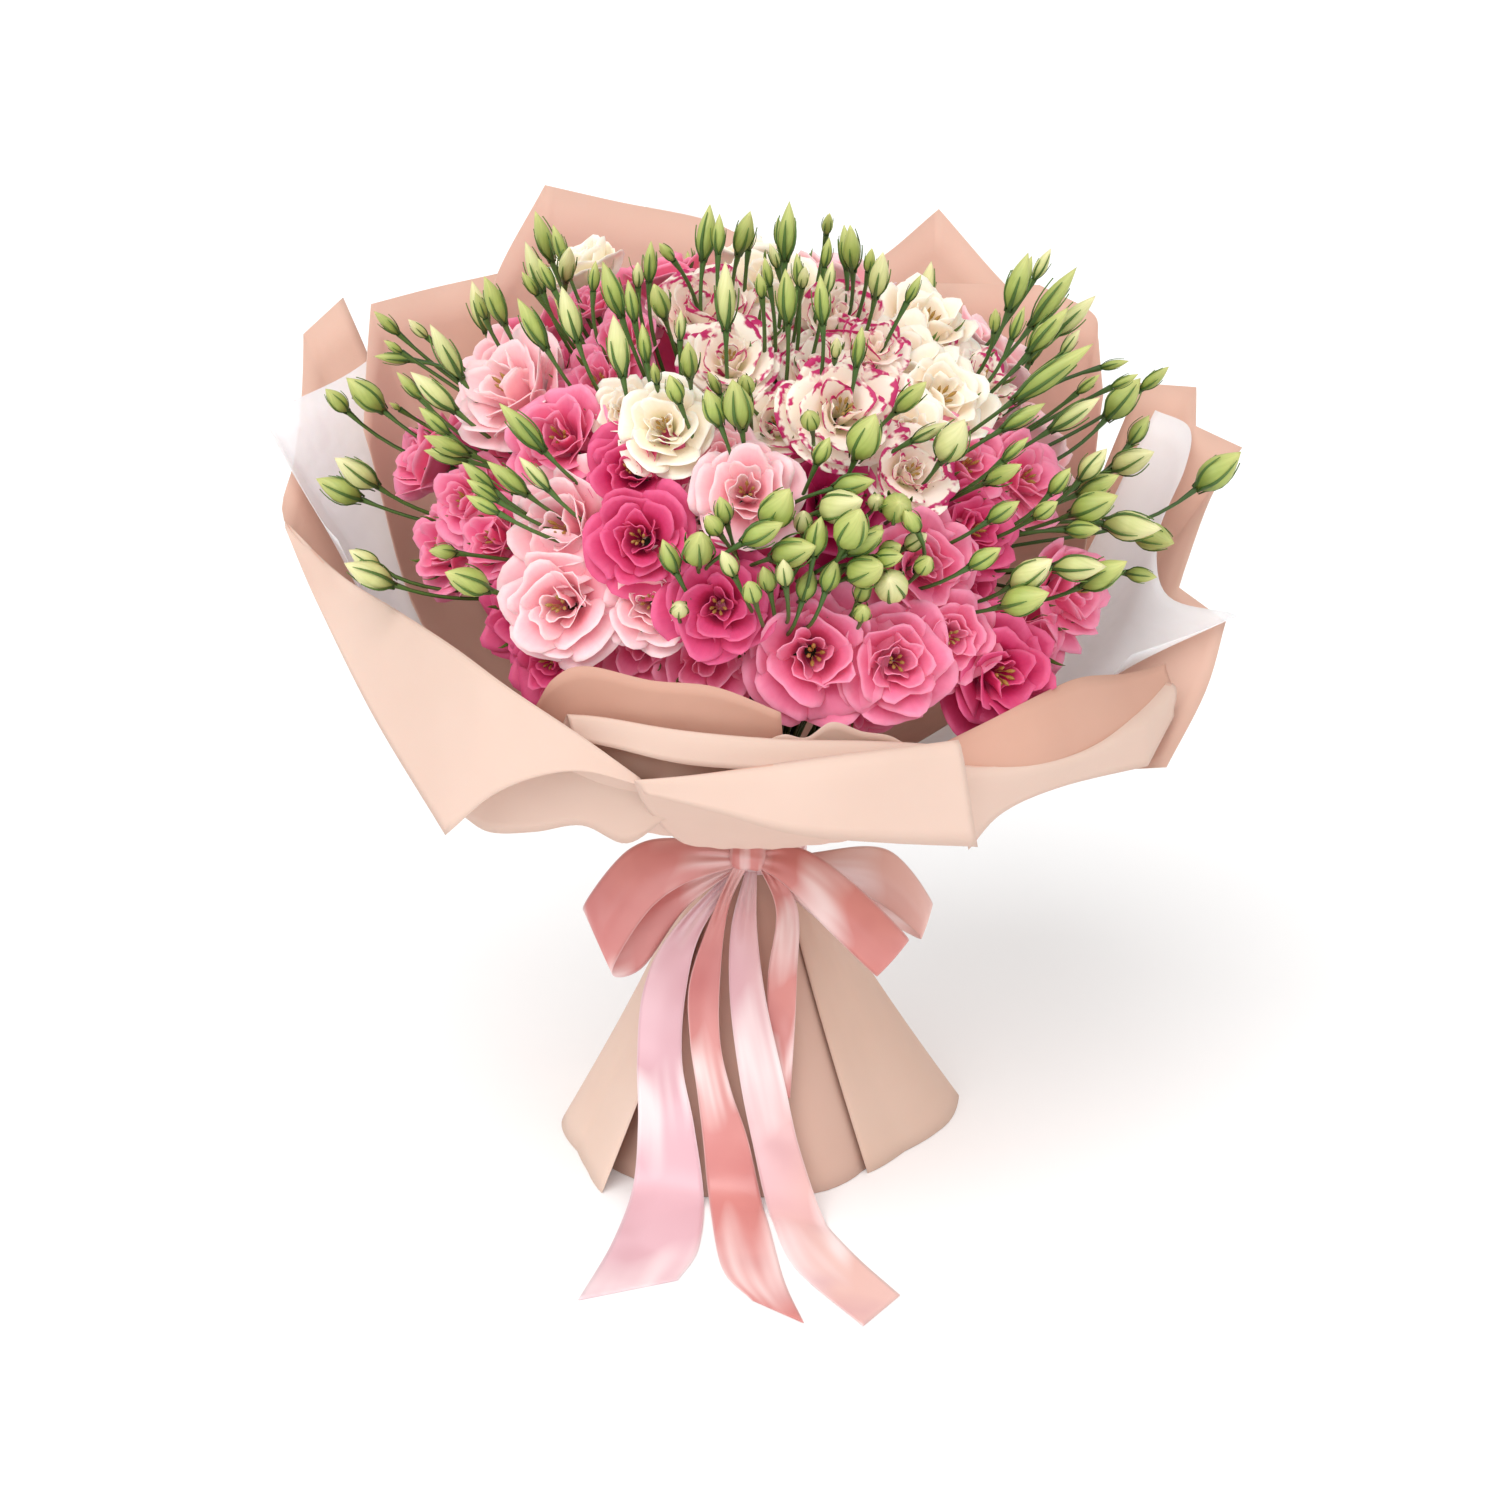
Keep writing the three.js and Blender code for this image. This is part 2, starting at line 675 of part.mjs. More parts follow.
function backBudPlace(i) {
  const turn = 180 + (i - (BACK_BUDS.count - 1) / 2) * BACK_BUDS.turnStep;
  const surface = domePoint(turn, BACK_BUDS.rise[i % 2]);
  const out = domeNormal(surface);
  const calyx = surface.addScaledVector(out, BUD_STAND_OFFS[0]);
  const tip = calyx.clone().addScaledVector(out.lerp(vec(0, 0, 1), 0.6).normalize(), BUD_LENGTH);
  return { calyx, tip };
}

// The bend of a bud's stalk below the petals, at the place beside the straight way where they leave
// most room.
function clearBend(root, calyx, axis) {
  const BELOW = 34;
  const ENOUGH = 2.5;
  const SAMPLES = 12;
  const middle = calyx.clone().addScaledVector(axis, -BELOW).lerp(root, 0.25);
  const side = vec(0.2, 0.1, 1).cross(axis).normalize();
  const other = axis.clone().cross(side);
  const roomAlong = (from, to) => {
    let room = ENOUGH;
    for (let i = 1; i < SAMPLES; i++) {
      room = Math.min(room, petalRoom(from.clone().lerp(to, i / SAMPLES)));
    }
    return room;
  };
  if (roomAlong(calyx, root) >= ENOUGH) return [];
  let best = { bend: middle, score: -Infinity };
  for (const shift of [0, 8, 16, 24, 32]) {
    for (let angle = 0; angle < 360; angle += 30) {
      const bend = middle
        .clone()
        .addScaledVector(side, shift * Math.sin(radians(angle)))
        .addScaledVector(other, shift * Math.cos(radians(angle)));
      const score = Math.min(roomAlong(calyx, bend), roomAlong(bend, root)) - shift * 0.05;
      if (score > best.score) best = { bend, score };
    }
  }
  return [best.bend];
}

const ALL_BUDS = [
  ...placedBuds(),
  ...Array.from({ length: BACK_BUDS.count }, (_, i) => backBudPlace(i)),
].map(({ calyx, tip }) => {
  const axis = tip.clone().sub(calyx).normalize();
  const root = nextStalk(calyx);
  return { calyx, tip, root, bend: clearBend(root, calyx, axis) };
});

// A furled bud on its stalk, from the stem to the bud's tip.
function bud({ root, bend, calyx, tip }, grow) {
  const length = calyx.distanceTo(tip);
  const axis = tip.clone().sub(calyx).normalize();
  const belly = Math.min(6.2, length * 0.17);
  const points = [root, ...bend, calyx];
  const rings = points.map((at, i) => ({
    at,
    radius: STALK_RADIUS + grow,
    along: (points[i + 1] ?? tip).clone().sub(points[i - 1] ?? at),
  }));
  rings.push({ at: calyx.clone().lerp(tip, 0.32), radius: belly + grow, along: axis });
  rings.push({ at: calyx.clone().lerp(tip, 0.66), radius: belly * 0.72 + grow, along: axis });
  return ringed(rings, BUD_SIDES, tip.clone().addScaledVector(axis, grow));
}

// ---- Nodes --------------------------------------------------------------------------------------

const nodes = new Map();
const addNode = (name, made, colour, roughness = 0.7) => nodes.set(name, { made, colour, roughness });

const green = joined([
  pressedStems(),
  ...STEMS.flatMap((stem) => stem.solids),
  ...ALL_BLOOMS.map((entry) => bloomStalk(entry, 0)),
  ...ALL_BUDS.map((entry) => bud(entry, 0)),
]);
addNode('stems_and_buds', filled(green), 0x7fa045);

// Everything green that petals keep clear of, with the room that they leave round it.
const clearings = [...ALL_BLOOMS, ...ALL_BUDS].map((owner) => {
  const made = owner.stalk ? bloomStalk(owner, CUT_CLEARANCE) : bud(owner, CUT_CLEARANCE);
  return { owner, made, box: made.boundingBox() };
});

const boxesMeet = (a, b) => [0, 1, 2].every((i) => a.min[i] < b.max[i] && b.min[i] < a.max[i]);

const whole = ({ place, spec }) => bloom(place, spec);

// Where two blooms of different groups press together, each keeps its own side of the plane between
// them.
function pressed(entry) {
  let made = whole(entry);
  const heart = (e) => e.place.face.clone().addScaledVector(e.place.axis, -0.5 * e.place.radius);
  const mine = heart(entry);
  for (const other of ALL_BLOOMS) {
    if (other.group === entry.group || made.intersect(whole(other)).isEmpty()) continue;
    const gap = mine.clone().sub(heart(other));
    const apart = gap.length();
    const share = other.place.radius / (entry.place.radius + other.place.radius);
    const normal = gap.normalize();
    const middle = heart(other).addScaledVector(normal, apart * share + CLEARANCE / 2);
    made = made.trimByPlane(normal.toArray(), normal.dot(middle));
  }
  const box = made.boundingBox();
  const near = clearings.filter((c) => c.owner !== entry && boxesMeet(c.box, box)).map((c) => c.made);
  return largest(near.length ? made.subtract(joined(near)) : made);
}

for (const [group, { variety }] of Object.entries(BLOOM_GROUPS)) {
  const blooms = ALL_BLOOMS.filter((entry) => entry.group === group).map(pressed);
  addNode(group, filled(joined(blooms)), COLOURS[variety], 0.6);
}

// ---- Papers -------------------------------------------------------------------------------------

const PAPER_COLOURS = { blush: 0xf0cbb8, tissue: 0xece9e8, skirt: 0xeecbb2 };

// The sheets of the funnel, from the inside out by layer. neck is the turn of the gathered sheet at
// the tie. edge is where its upper edge is seen, with how much nearer to the eye than the axis each
// point is. flap, where a sheet is folded outwards at that edge, is where the edge of the fold is
// seen, in the same way.
const SHEETS = {
  paper_back_left: {
    layer: 0,
    neck: [-98, -186],
    edge: [
      [490, 330, -30], [499, 272, -46], [545, 185, -60], [620, 202, -72], [700, 218, -80],
      [745, 236, -82],
    ],
  },
  paper_back_right_inner: {
    layer: 0,
    neck: [86, 158],
    edge: [
      [1104, 395, 6], [1100, 341, -9], [1093, 313, -16], [1039, 285, -25], [960, 284, -50],
      [902, 283, -66],
    ],
  },
  paper_back_right: {
    layer: 1,
    neck: [106, 178],
    edge: [[1040, 310, -50], [1004, 283, -62], [939, 209, -76], [873, 262, -92], [810, 275, -98]],
  },
  paper_left_inner: {
    layer: 1,
    neck: [-84, -146],
    edge: [[362, 430, -4], [366, 373, -14], [371, 304, -28], [432, 288, -52], [500, 273, -68]],
  },
  tissue_back: {
    layer: 1.6,
    neck: [-154, -184],
    edge: [[625, 225, -96], [670, 184, -92], [712, 226, -98]],
  },
  tissue_left: {
    layer: 2,
    neck: [-70, -128],
    edge: [[338, 540, 50], [318, 512, 38], [260, 415, 12], [340, 378, -24], [392, 340, -50]],
  },
  tissue_right: {
    layer: 2,
    neck: [66, 112],
    edge: [
      [1130, 652, 84], [1236, 612, 60], [1168, 596, 44], [1160, 540, 34], [1188, 470, 8],
      [1190, 428, -10], [1155, 410, -22],
    ],
  },
  front_curl: {
    layer: 2,
    neck: [-38, 8],
    edge: [
      [536, 704, 215], [554, 678, 228], [585, 667, 236], [650, 682, 250], [715, 688, 255],
      [781, 712, 252],
    ],
  },
  paper_front_right: {
    layer: 3,
    neck: [23.5, 84],
    edge: [[962, 766, 214], [1020, 762, 196], [1080, 744, 164], [1130, 718, 126], [1166, 690, 82]],
    flap: [[985, 843, 192], [1018, 815, 184], [1075, 786, 160], [1148, 765, 112], [1176, 722, 80]],
  },
  front_roll: {
    layer: 3,
    neck: [-38, 22],
    edge: [
      [566, 716, 222], [606, 718, 232], [683, 729, 248], [780, 738, 252], [860, 742, 244],
      [925, 746, 228],
    ],
    flap: [
      [574, 740, 228], [614, 748, 240], [686, 764, 255], [780, 770, 259], [860, 768, 251],
      [922, 766, 236],
    ],
  },
  outer_paper_right: {
    layer: 4,
    neck: [58, 118],
    edge: [
      [1166, 766, 94], [1206, 690, 62], [1226, 622, 48], [1180, 588, 40], [1212, 500, 20],
      [1243, 448, -4], [1196, 426, -14], [1196, 387, -34], [1140, 383, -50],
    ],
  },
  outer_paper_left: {
    layer: 4,
    neck: [-14, -118],
    edge: [
      [640, 778, 250], [583, 737, 248], [511, 689, 228], [454, 647, 198], [397, 610, 142],
      [340, 574, 70], [284, 520, 40], [293, 462, 0], [300, 400, -30], [302, 335, -56],
      [342, 298, -74],
    ],
  },
  front_under_left: {
    layer: 5,
    neck: [-64, -16],
    edge: [
      [425, 788, 128], [462, 815, 150], [490, 832, 160], [535, 832, 170], [582, 826, 178],
      [627, 844, 174], [669, 816, 186],
    ],
  },
  front_flap: {
    layer: 6,
    neck: [-16, 36],
    edge: [[634, 779, 264], [720, 771, 272], [800, 762, 274], [880, 751, 268], [959, 740, 250]],
    flap: [[644, 794, 267], [714, 812, 271], [795, 834, 268], [890, 843, 256], [978, 847, 236]],
  },
};

// The corner of the left sheet that is folded down over the front.
const LEFT_FOLD = {
  edge: [
    [640, 778, 250], [583, 737, 248], [511, 689, 228], [454, 647, 198], [397, 610, 142],
    [340, 574, 70], [284, 520, 40],
  ],
  flap: [
    [645, 786, 252], [572, 771, 250], [500, 791, 236], [445, 835, 212], [372, 715, 148],
    [318, 605, 80], [285, 528, 42],
  ],
};

const BOWL = { margin: 13, pitch: 4.4, drop: 2.3, rows: [246, 302], belowEdge: 12 };
// How far out the bowl has swelled, from 0 at the tie to 1 at its brim, at some heights.
const SWELL = [[TIE_HEIGHT, 0], [246, 0.44], [302, 0.845], [345, 1]];

function swellAt(height) {
  if (height >= SWELL.at(-1)[0]) return 1;
  const i = Math.max(SWELL.findIndex(([z]) => z >= height), 1);
  return THREE.MathUtils.mapLinear(height, SWELL[i - 1][0], SWELL[i][0], SWELL[i - 1][1], SWELL[i][1]);
}

// Between the tie and the blooms the paper swells like a bowl. This is a point of it, for a layer,
// turn and height.
function bowlPoint(turn, height, layer) {
  const a = DOME.side + BOWL.margin;
  const b = (Math.abs(turn) < 90 ? DOME.front : DOME.back) + BOWL.margin;
  const widest = 1 / Math.hypot(Math.sin(radians(turn)) / a, Math.cos(radians(turn)) / b);
  const radius = THREE.MathUtils.lerp(NECK_RADIUS, widest, swellAt(height)) + layer * BOWL.pitch;
  return roundAxis(turn, radius, height - layer * BOWL.drop);
}

const roundAxis = (turn, radius, z) =>
  vec(Math.sin(radians(turn)) * radius, -Math.cos(radians(turn)) * radius, z);
const turnOf = (p) => THREE.MathUtils.radToDeg(Math.atan2(p.x, -p.y));
const at = ([px, py, near]) => seen([px, py], near);

// The turn at one share of the way between two turns, the short way round.
function turnBetween(from, to, share) {
  const step = ((to - from + 540) % 360) - 180;
  return from + step * share;
}

// A surface through rows of points, smooth from row to row and straight from point to point along a
// row.
function surfaceThrough(columns) {
  const curves = columns.map((points) => through(points));
  return (u, v) => {
    const place = u * (curves.length - 1);
    const i = Math.min(Math.floor(place), curves.length - 2);
    return curves[i].getPoint(v).lerp(curves[i + 1].getPoint(v), place - i);
  };
}

function paperSheet({ layer, neck, edge, flap }) {
  const radius = NECK_RADIUS + layer * LAYER_PITCH;
  const columns = edge.map((pixel, i) => {
    const neckTurn = THREE.MathUtils.lerp(neck[0], neck[1], i / (edge.length - 1));
    const rim = at(pixel);
    const held = [BAND.bottom + 2, BAND.top + 10 - layer * LAYER_PITCH];
    const rows = held.map((z) => roundAxis(neckTurn, radius, z));
    BOWL.rows.forEach((height, row) => {
      const turn = turnBetween(neckTurn, turnOf(rim), (row + 1) / (BOWL.rows.length + 1));
      const highest = rim.z - BOWL.belowEdge * (BOWL.rows.length - row);
      rows.push(bowlPoint(turn, Math.min(height, highest), layer));
    });
    rows.push(rim);
    if (flap) rows.push(at(flap[i]));
    return rows;
  });
  return sheet(surfaceThrough(columns), [columns.length - 1, columns[0].length - 1]);
}

for (const [name, spec] of Object.entries(SHEETS)) {
  let made = paperSheet(spec);
  if (name === 'outer_paper_left') {
    const fold = LEFT_FOLD.edge.map((pixel, i) => [at(pixel), at(LEFT_FOLD.flap[i])]);
    made = joined([made, sheet(surfaceThrough(fold), [fold.length - 1, 1])]);
  }
  addNode(name, made, name.startsWith('tissue') ? PAPER_COLOURS.tissue : PAPER_COLOURS.blush, 0.85);
}

// The skirt: three sheets that flare from the tie to the surface.
const SKIRT = {
  skirt_middle: { turns: [-177, 177], layer: 0, foot: 113, columns: 14 },
  skirt_left: { turns: [-128, -42], layer: 1, foot: 121, columns: 5 },
  skirt_right: { turns: [38, 124], layer: 1, foot: 122, columns: 5 },
};
const SKIRT_ROWS = [BAND.top - 1.5, BAND.bottom - 1, 90, PAPER / 2];

for (const [name, { turns, layer, foot, columns }] of Object.entries(SKIRT)) {
  const neck = NECK_RADIUS + (SKIRT_LAYER + layer) * LAYER_PITCH;
  const surface = (u, v) => {
    const row = Math.min(Math.floor(v * (SKIRT_ROWS.length - 1)), SKIRT_ROWS.length - 2);
    const share = v * (SKIRT_ROWS.length - 1) - row;
    const z = THREE.MathUtils.lerp(SKIRT_ROWS[row], SKIRT_ROWS[row + 1], share);
    const down = Math.max(BAND.bottom - 1 - z, 0) / (BAND.bottom - 1);
    return roundAxis(THREE.MathUtils.lerp(...turns, u), neck + (foot - neck) * down ** SKIRT_FLARE, z);
  };
  addNode(name, sheet(surface, [columns, SKIRT_ROWS.length - 1]), PAPER_COLOURS.skirt, 0.85);
}

// ---- Ribbons ------------------------------------------------------------------------------------

const RIBBON_COLOURS = { rose: 0xdb8e8a, pale: 0xe9c2c4 };

// Each ribbon as its two edges, in points of the picture from the knot to its end. A third number
// says how much nearer to the eye than the axis a point is. Points without one hang before the
// skirt or lie on the surface.
const RIBBONS = {
  rose_loop_left: {
    one: [
      [742, 852, 16], [676, 838, 30], [628, 850, 40], [585, 903, 42], [598, 908, 22],
      [668, 880, 10], [738, 862, 13],
    ],
    other: [
      [738, 866, 16], [684, 884, 34], [645, 915, 44], [612, 972, 42], [642, 968, 22],
      [686, 908, 13], [738, 868, 13],
    ],
  },
  rose_loop_right: {
    one: [
      [754, 852, 16], [800, 848, 30], [852, 882, 40], [908, 938, 42], [882, 926, 22],
      [812, 880, 10], [760, 860, 12],
    ],
    other: [
      [756, 866, 16], [786, 886, 34], [826, 928, 44], [875, 975, 42], [862, 958, 22],
      [802, 906, 10], [758, 866, 12],
    ],
  },
  rose_tail: {
    one: [
      [736, 862, 18], [716, 905], [690, 980], [690, 1040], [697, 1090], [703, 1140], [709, 1200],
      [722, 1268], [752, 1300],
    ],
    other: [
      [748, 864, 18], [728, 910], [720, 980], [720, 1040], [731, 1090], [748, 1140], [764, 1210],
      [784, 1280], [804, 1323],
    ],
  },
  rose_tail_short: {
    lower: 4,
    one: [[756, 860, 17], [776, 910], [768, 975], [768, 1040], [774, 1096]],
    other: [[766, 858, 17], [797, 906], [797, 975], [794, 1040], [790, 1098]],
  },
  pale_loop: {
    one: [
      [768, 866, 5.4], [818, 852, 2], [888, 850, 6], [932, 902, 8], [910, 896, -10],
      [842, 872, -12], [782, 863, 2.2],
    ],
    other: [
      [772, 873, 4.8], [832, 880, 2], [884, 906, 6], [921, 938, 8], [898, 928, -10],
      [838, 896, -12], [782, 869, 2],
    ],
  },
  pale_tail_left: {
    one: [
      [733, 867, 6.2], [668, 936], [643, 991], [637, 1060], [638, 1125], [632, 1190], [609, 1249],
      [578, 1300],
    ],
    other: [
      [744, 869, 7], [702, 930], [686, 991], [682, 1060], [694, 1125], [704, 1200], [698, 1250],
      [678, 1280],
    ],
  },
  pale_tail_right: {
    one: [
      [746, 869, 7.2], [731, 930], [730, 1000], [740, 1080], [753, 1145], [770, 1216], [795, 1268],
      [863, 1326],
    ],
    other: [
      [757, 869, 7], [757, 930], [766, 1000], [784, 1080], [800, 1150], [828, 1227], [860, 1260],
      [900, 1295],
    ],
  },
};
const LYING = 0.7; // height of a ribbon's middle where it lies on the surface
// How near to the eye a ribbon is as it hangs before the skirt, from a row of the picture downwards.
const HANGING = { from: 860, near: 16, slope: 0.05 };

// A point of a ribbon, lowered no further than the surface that the bouquet stands on.
function ribbonPoint([px, py, near], lower = 0) {
  const hanging = seen([px, py], near ?? HANGING.near + (py - HANGING.from) * HANGING.slope - lower);
  if (hanging.z >= LYING) return hanging;
  const sight = hanging.clone().sub(EYE);
  return EYE.clone().addScaledVector(sight, (EYE.z - LYING) / (EYE.z - hanging.z));
}

function ribbon({ one, other, lower }) {
  const [a, b] = [one, other].map((edge) => through(edge.map((point) => ribbonPoint(point, lower))));
  return sheet((u, v) => a.getPoint(v).lerp(b.getPoint(v), u), [1, one.length - 1]);
}

function band(bottom, top) {
  const [inside, outside] = [BAND.radius - BAND.thickness / 2, BAND.radius + BAND.thickness / 2];
  const section = [[inside, bottom], [outside, bottom], [outside, top], [inside, top], [inside, bottom]];
  const lathe = new THREE.LatheGeometry(section.map(([r, z]) => new THREE.Vector2(r, z)), 18);
  return solid(lathe, (p) => vec(p.x, -p.z, p.y));
}

const KNOT = { at: vec(-1, -40, 184), across: 15, high: 7.5, deep: 8 };

function knot() {
  return solid(new THREE.SphereGeometry(1, 8, 4), (p) =>
    KNOT.at.clone().add(vec(p.x * KNOT.across, p.z * KNOT.deep, p.y * KNOT.high)),
  );
}

function ribbonNode(colour, parts) {
  const strips = Object.entries(RIBBONS).filter(([name]) => name.startsWith(colour));
  const made = joined([...parts, ...strips.map(([, spec]) => ribbon(spec))]);
  addNode(`ribbon_${colour}`, filled(made), RIBBON_COLOURS[colour], 0.35);
}

const BAND_SPLIT = 178; // below it the pale ribbon goes round, above it the rose one
ribbonNode('rose', [band(BAND_SPLIT + CLEARANCE, BAND.top), knot()]);
ribbonNode('pale', [band(BAND.bottom, BAND_SPLIT)]);

// ---- The bouquet --------------------------------------------------------------------------------

function meshOf(name, { made, colour, roughness }) {
  const { vertProperties, numProp, numVert, triVerts } = made.getMesh();
  const position = new Float32Array(numVert * 3);
  for (let i = 0; i < numVert; i++) {
    position.set(vertProperties.subarray(i * numProp, i * numProp + 3), i * 3);
  }
  const geometry = new THREE.BufferGeometry();
  geometry.setAttribute('position', new THREE.BufferAttribute(position, 3));
  geometry.setIndex(new THREE.BufferAttribute(Uint32Array.from(triVerts), 1));
  const mesh = new THREE.Mesh(geometry, new THREE.MeshStandardMaterial({ color: colour, roughness }));
  mesh.name = name;
  return mesh;
}

const bouquet = new THREE.Group();
for (const [name, node] of nodes) bouquet.add(meshOf(name, node));

export default bouquet;
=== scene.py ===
"""A wrapped bouquet of lisianthus: petals, buds, stems, papers, tissue and satin ribbons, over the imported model."""

import math
import random

import bpy
from mathutils import Matrix, Vector


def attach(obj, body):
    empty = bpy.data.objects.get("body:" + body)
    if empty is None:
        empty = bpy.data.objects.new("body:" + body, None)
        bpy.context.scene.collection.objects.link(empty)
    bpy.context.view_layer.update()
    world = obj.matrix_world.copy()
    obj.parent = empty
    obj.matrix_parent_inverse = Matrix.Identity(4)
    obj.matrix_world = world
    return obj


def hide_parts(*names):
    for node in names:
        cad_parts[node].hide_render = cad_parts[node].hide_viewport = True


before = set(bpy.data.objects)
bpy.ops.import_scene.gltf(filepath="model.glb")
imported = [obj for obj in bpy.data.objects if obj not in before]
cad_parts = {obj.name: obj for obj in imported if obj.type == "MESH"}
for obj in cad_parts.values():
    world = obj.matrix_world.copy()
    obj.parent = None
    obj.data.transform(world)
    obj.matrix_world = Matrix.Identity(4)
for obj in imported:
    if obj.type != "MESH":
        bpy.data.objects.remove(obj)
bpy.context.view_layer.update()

MM = 0.001

# ---- The view ----

# The picture is 1500 pixels square, 0.6 mm to the pixel at the bouquet's axis, from 22 degrees above the horizon.
PICTURE = {"middle": 750, "scale": 0.6, "distance": 3375, "elevation": 22, "height": 238}
LENS_MM = 135
SENSOR_MM = 36

TILT = math.radians(PICTURE["elevation"])
LOOK = Vector((0, math.cos(TILT), -math.sin(TILT)))
PICTURE_UP = Vector((0, math.sin(TILT), math.cos(TILT)))
AIM = Vector((0, 0, PICTURE["height"]))
EYE = AIM - LOOK * PICTURE["distance"]


def stand(name, data, place, way):
    """Stands a camera or a lamp at a place, in metres, turned to look one way."""
    piece = bpy.data.objects.new(name, data)
    piece.location = place
    piece.rotation_euler = way.to_track_quat("-Z", "Y").to_euler()
    bpy.context.scene.collection.objects.link(piece)
    return piece


camera = bpy.data.cameras.new("camera")
camera.lens = LENS_MM
camera.sensor_width = SENSOR_MM
bpy.context.scene.camera = stand("camera", camera, EYE * MM, LOOK)
bpy.context.scene.view_settings.view_transform = "Standard"


def seen(pixel, near):
    """The point, in millimetres, that is seen at a pixel, so much nearer to the eye than the axis."""
    right = (pixel[0] - PICTURE["middle"]) * PICTURE["scale"]
    up = (PICTURE["middle"] - pixel[1]) * PICTURE["scale"]
    sight = LOOK * PICTURE["distance"] + Vector((right, 0, 0)) + PICTURE_UP * up
    return EYE + sight * (1 - near / PICTURE["distance"])


def first_seen(pixel, outside):
    """The first point from the eye, at a pixel, where outside(point) falls to zero, or where it comes closest."""
    nearest, step, halvings = 420, 6, 24
    best, least = -nearest, math.inf
    near = nearest
    while near > -nearest:
        value = outside(seen(pixel, near))
        if value < least:
            least, best = value, near
        if value <= 0:
            far, close = near, near + step
            for _ in range(halvings):
                half = (far + close) / 2
                if outside(seen(pixel, half)) <= 0:
                    far = half
                else:
                    close = half
            return seen(pixel, far)
        near -= step
    return seen(pixel, best)


# ---- The round of blooms ----

TIE_HEIGHT = 190
DOME = {"height": 340, "side": 215, "front": 215, "back": 165, "up": 218}
DOME_MIDDLE = Vector((0, 0, DOME["height"]))


def dome_radii(y):
    return DOME["side"], DOME["front"] if y < 0 else DOME["back"], DOME["up"]


def outside_dome(grow):
    def value(p):
        a, b, c = (r + grow for r in dome_radii(p.y))
        return (p.x / a) ** 2 + (p.y / b) ** 2 + ((p.z - DOME["height"]) / c) ** 2 - 1

    return value


def dome_normal(p):
    a, b, c = dome_radii(p.y)
    return Vector((p.x / a**2, p.y / b**2, (p.z - DOME["height"]) / c**2)).normalized()


def dome_point(turn, rise, share=1.0):
    across = math.cos(math.radians(rise))
    x, y = math.sin(math.radians(turn)) * across, -math.cos(math.radians(turn)) * across
    a, b, c = dome_radii(y)
    return Vector((x * a * share, y * b * share, DOME["height"] + math.sin(math.radians(rise)) * c * share))


# ---- Tools of the bench ----


def clear_selection():
    bpy.ops.object.select_all(action="DESELECT")


def select_only(*objects):
    clear_selection()
    for piece in objects:
        piece.select_set(True)
    bpy.context.view_layer.objects.active = objects[0]


def apply_modifier(piece, kind, **settings):
    select_only(piece)
    modifier = piece.modifiers.new(kind.lower(), kind)
    for name, value in settings.items():
        setattr(modifier, name, value)
    bpy.ops.object.modifier_apply(modifier=modifier.name)


def smooth(piece):
    select_only(piece)
    bpy.ops.object.shade_smooth()


def grid_skin(name, surface, across, along, thickness=0.0):
    """A grid bent over surface(u, v), in millimetres, with its own UV map, thickened to a closed skin."""
    clear_selection()
    bpy.ops.mesh.primitive_grid_add(x_subdivisions=across, y_subdivisions=along, size=1, calc_uvs=True)
    piece = bpy.context.object
    piece.name = name
    for vertex in piece.data.vertices:
        u, v = vertex.co.x + 0.5, vertex.co.y + 0.5
        vertex.co = surface(u, v) * MM
    if thickness:
        apply_modifier(piece, "SOLIDIFY", thickness=thickness * MM, offset=0.0, use_even_offset=False)
    smooth(piece)
    return piece


def turned_solid(name, profile, segments, place):
    """A ball's rows placed anew as a turned solid. profile gives each row's radius between the two ends, and
    place(angle, share, radius) gives the point, in millimetres, so far along the rows."""
    clear_selection()
    bpy.ops.mesh.primitive_uv_sphere_add(segments=segments, ring_count=len(profile) + 1, radius=1, calc_uvs=True)
    piece = bpy.context.object
    piece.name = name
    rows = len(profile) + 1
    for vertex in piece.data.vertices:
        rise = math.acos(max(-1.0, min(1.0, -vertex.co.z))) / math.pi * rows
        row = round(rise)
        angle = math.atan2(vertex.co.y, vertex.co.x)
        radius = 0.0 if row in (0, rows) else profile[row - 1]
        vertex.co = place(angle, row / rows, radius) * MM
    smooth(piece)
    return piece


def join(pieces, name):
    if len(pieces) > 1:
        select_only(*pieces)
        bpy.ops.object.join()
    piece = pieces[0]
    piece.name = name
    piece.data.name = name
    return piece


def placed_copy(model, matrix):
    """A copy of a model with its own mesh, its place in that mesh."""
    copy = bpy.data.objects.new(model.name, model.data.copy())
    copy.data.transform(matrix)
    bpy.context.scene.collection.objects.link(copy)
    return copy


def facing_matrix(place, axis, turn, size):
    """The matrix that stands a model of unit size at a place, its +Z along axis, turned about it."""
    facing = Matrix.Translation(place * MM) @ axis.to_track_quat("Z", "Y").to_matrix().to_4x4()
    return facing @ Matrix.Rotation(turn, 4, "Z") @ Matrix.Diagonal((size, size, size, 1))


def dismiss(pieces):
    """Removes the models that only served for copies."""
    for piece in pieces:
        bpy.data.objects.remove(piece, do_unlink=True)


def finish_piece(piece, material, nodes):
    piece.data.materials.clear()
    piece.data.materials.append(material)
    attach(piece, "root")
    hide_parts(*nodes)
    return piece


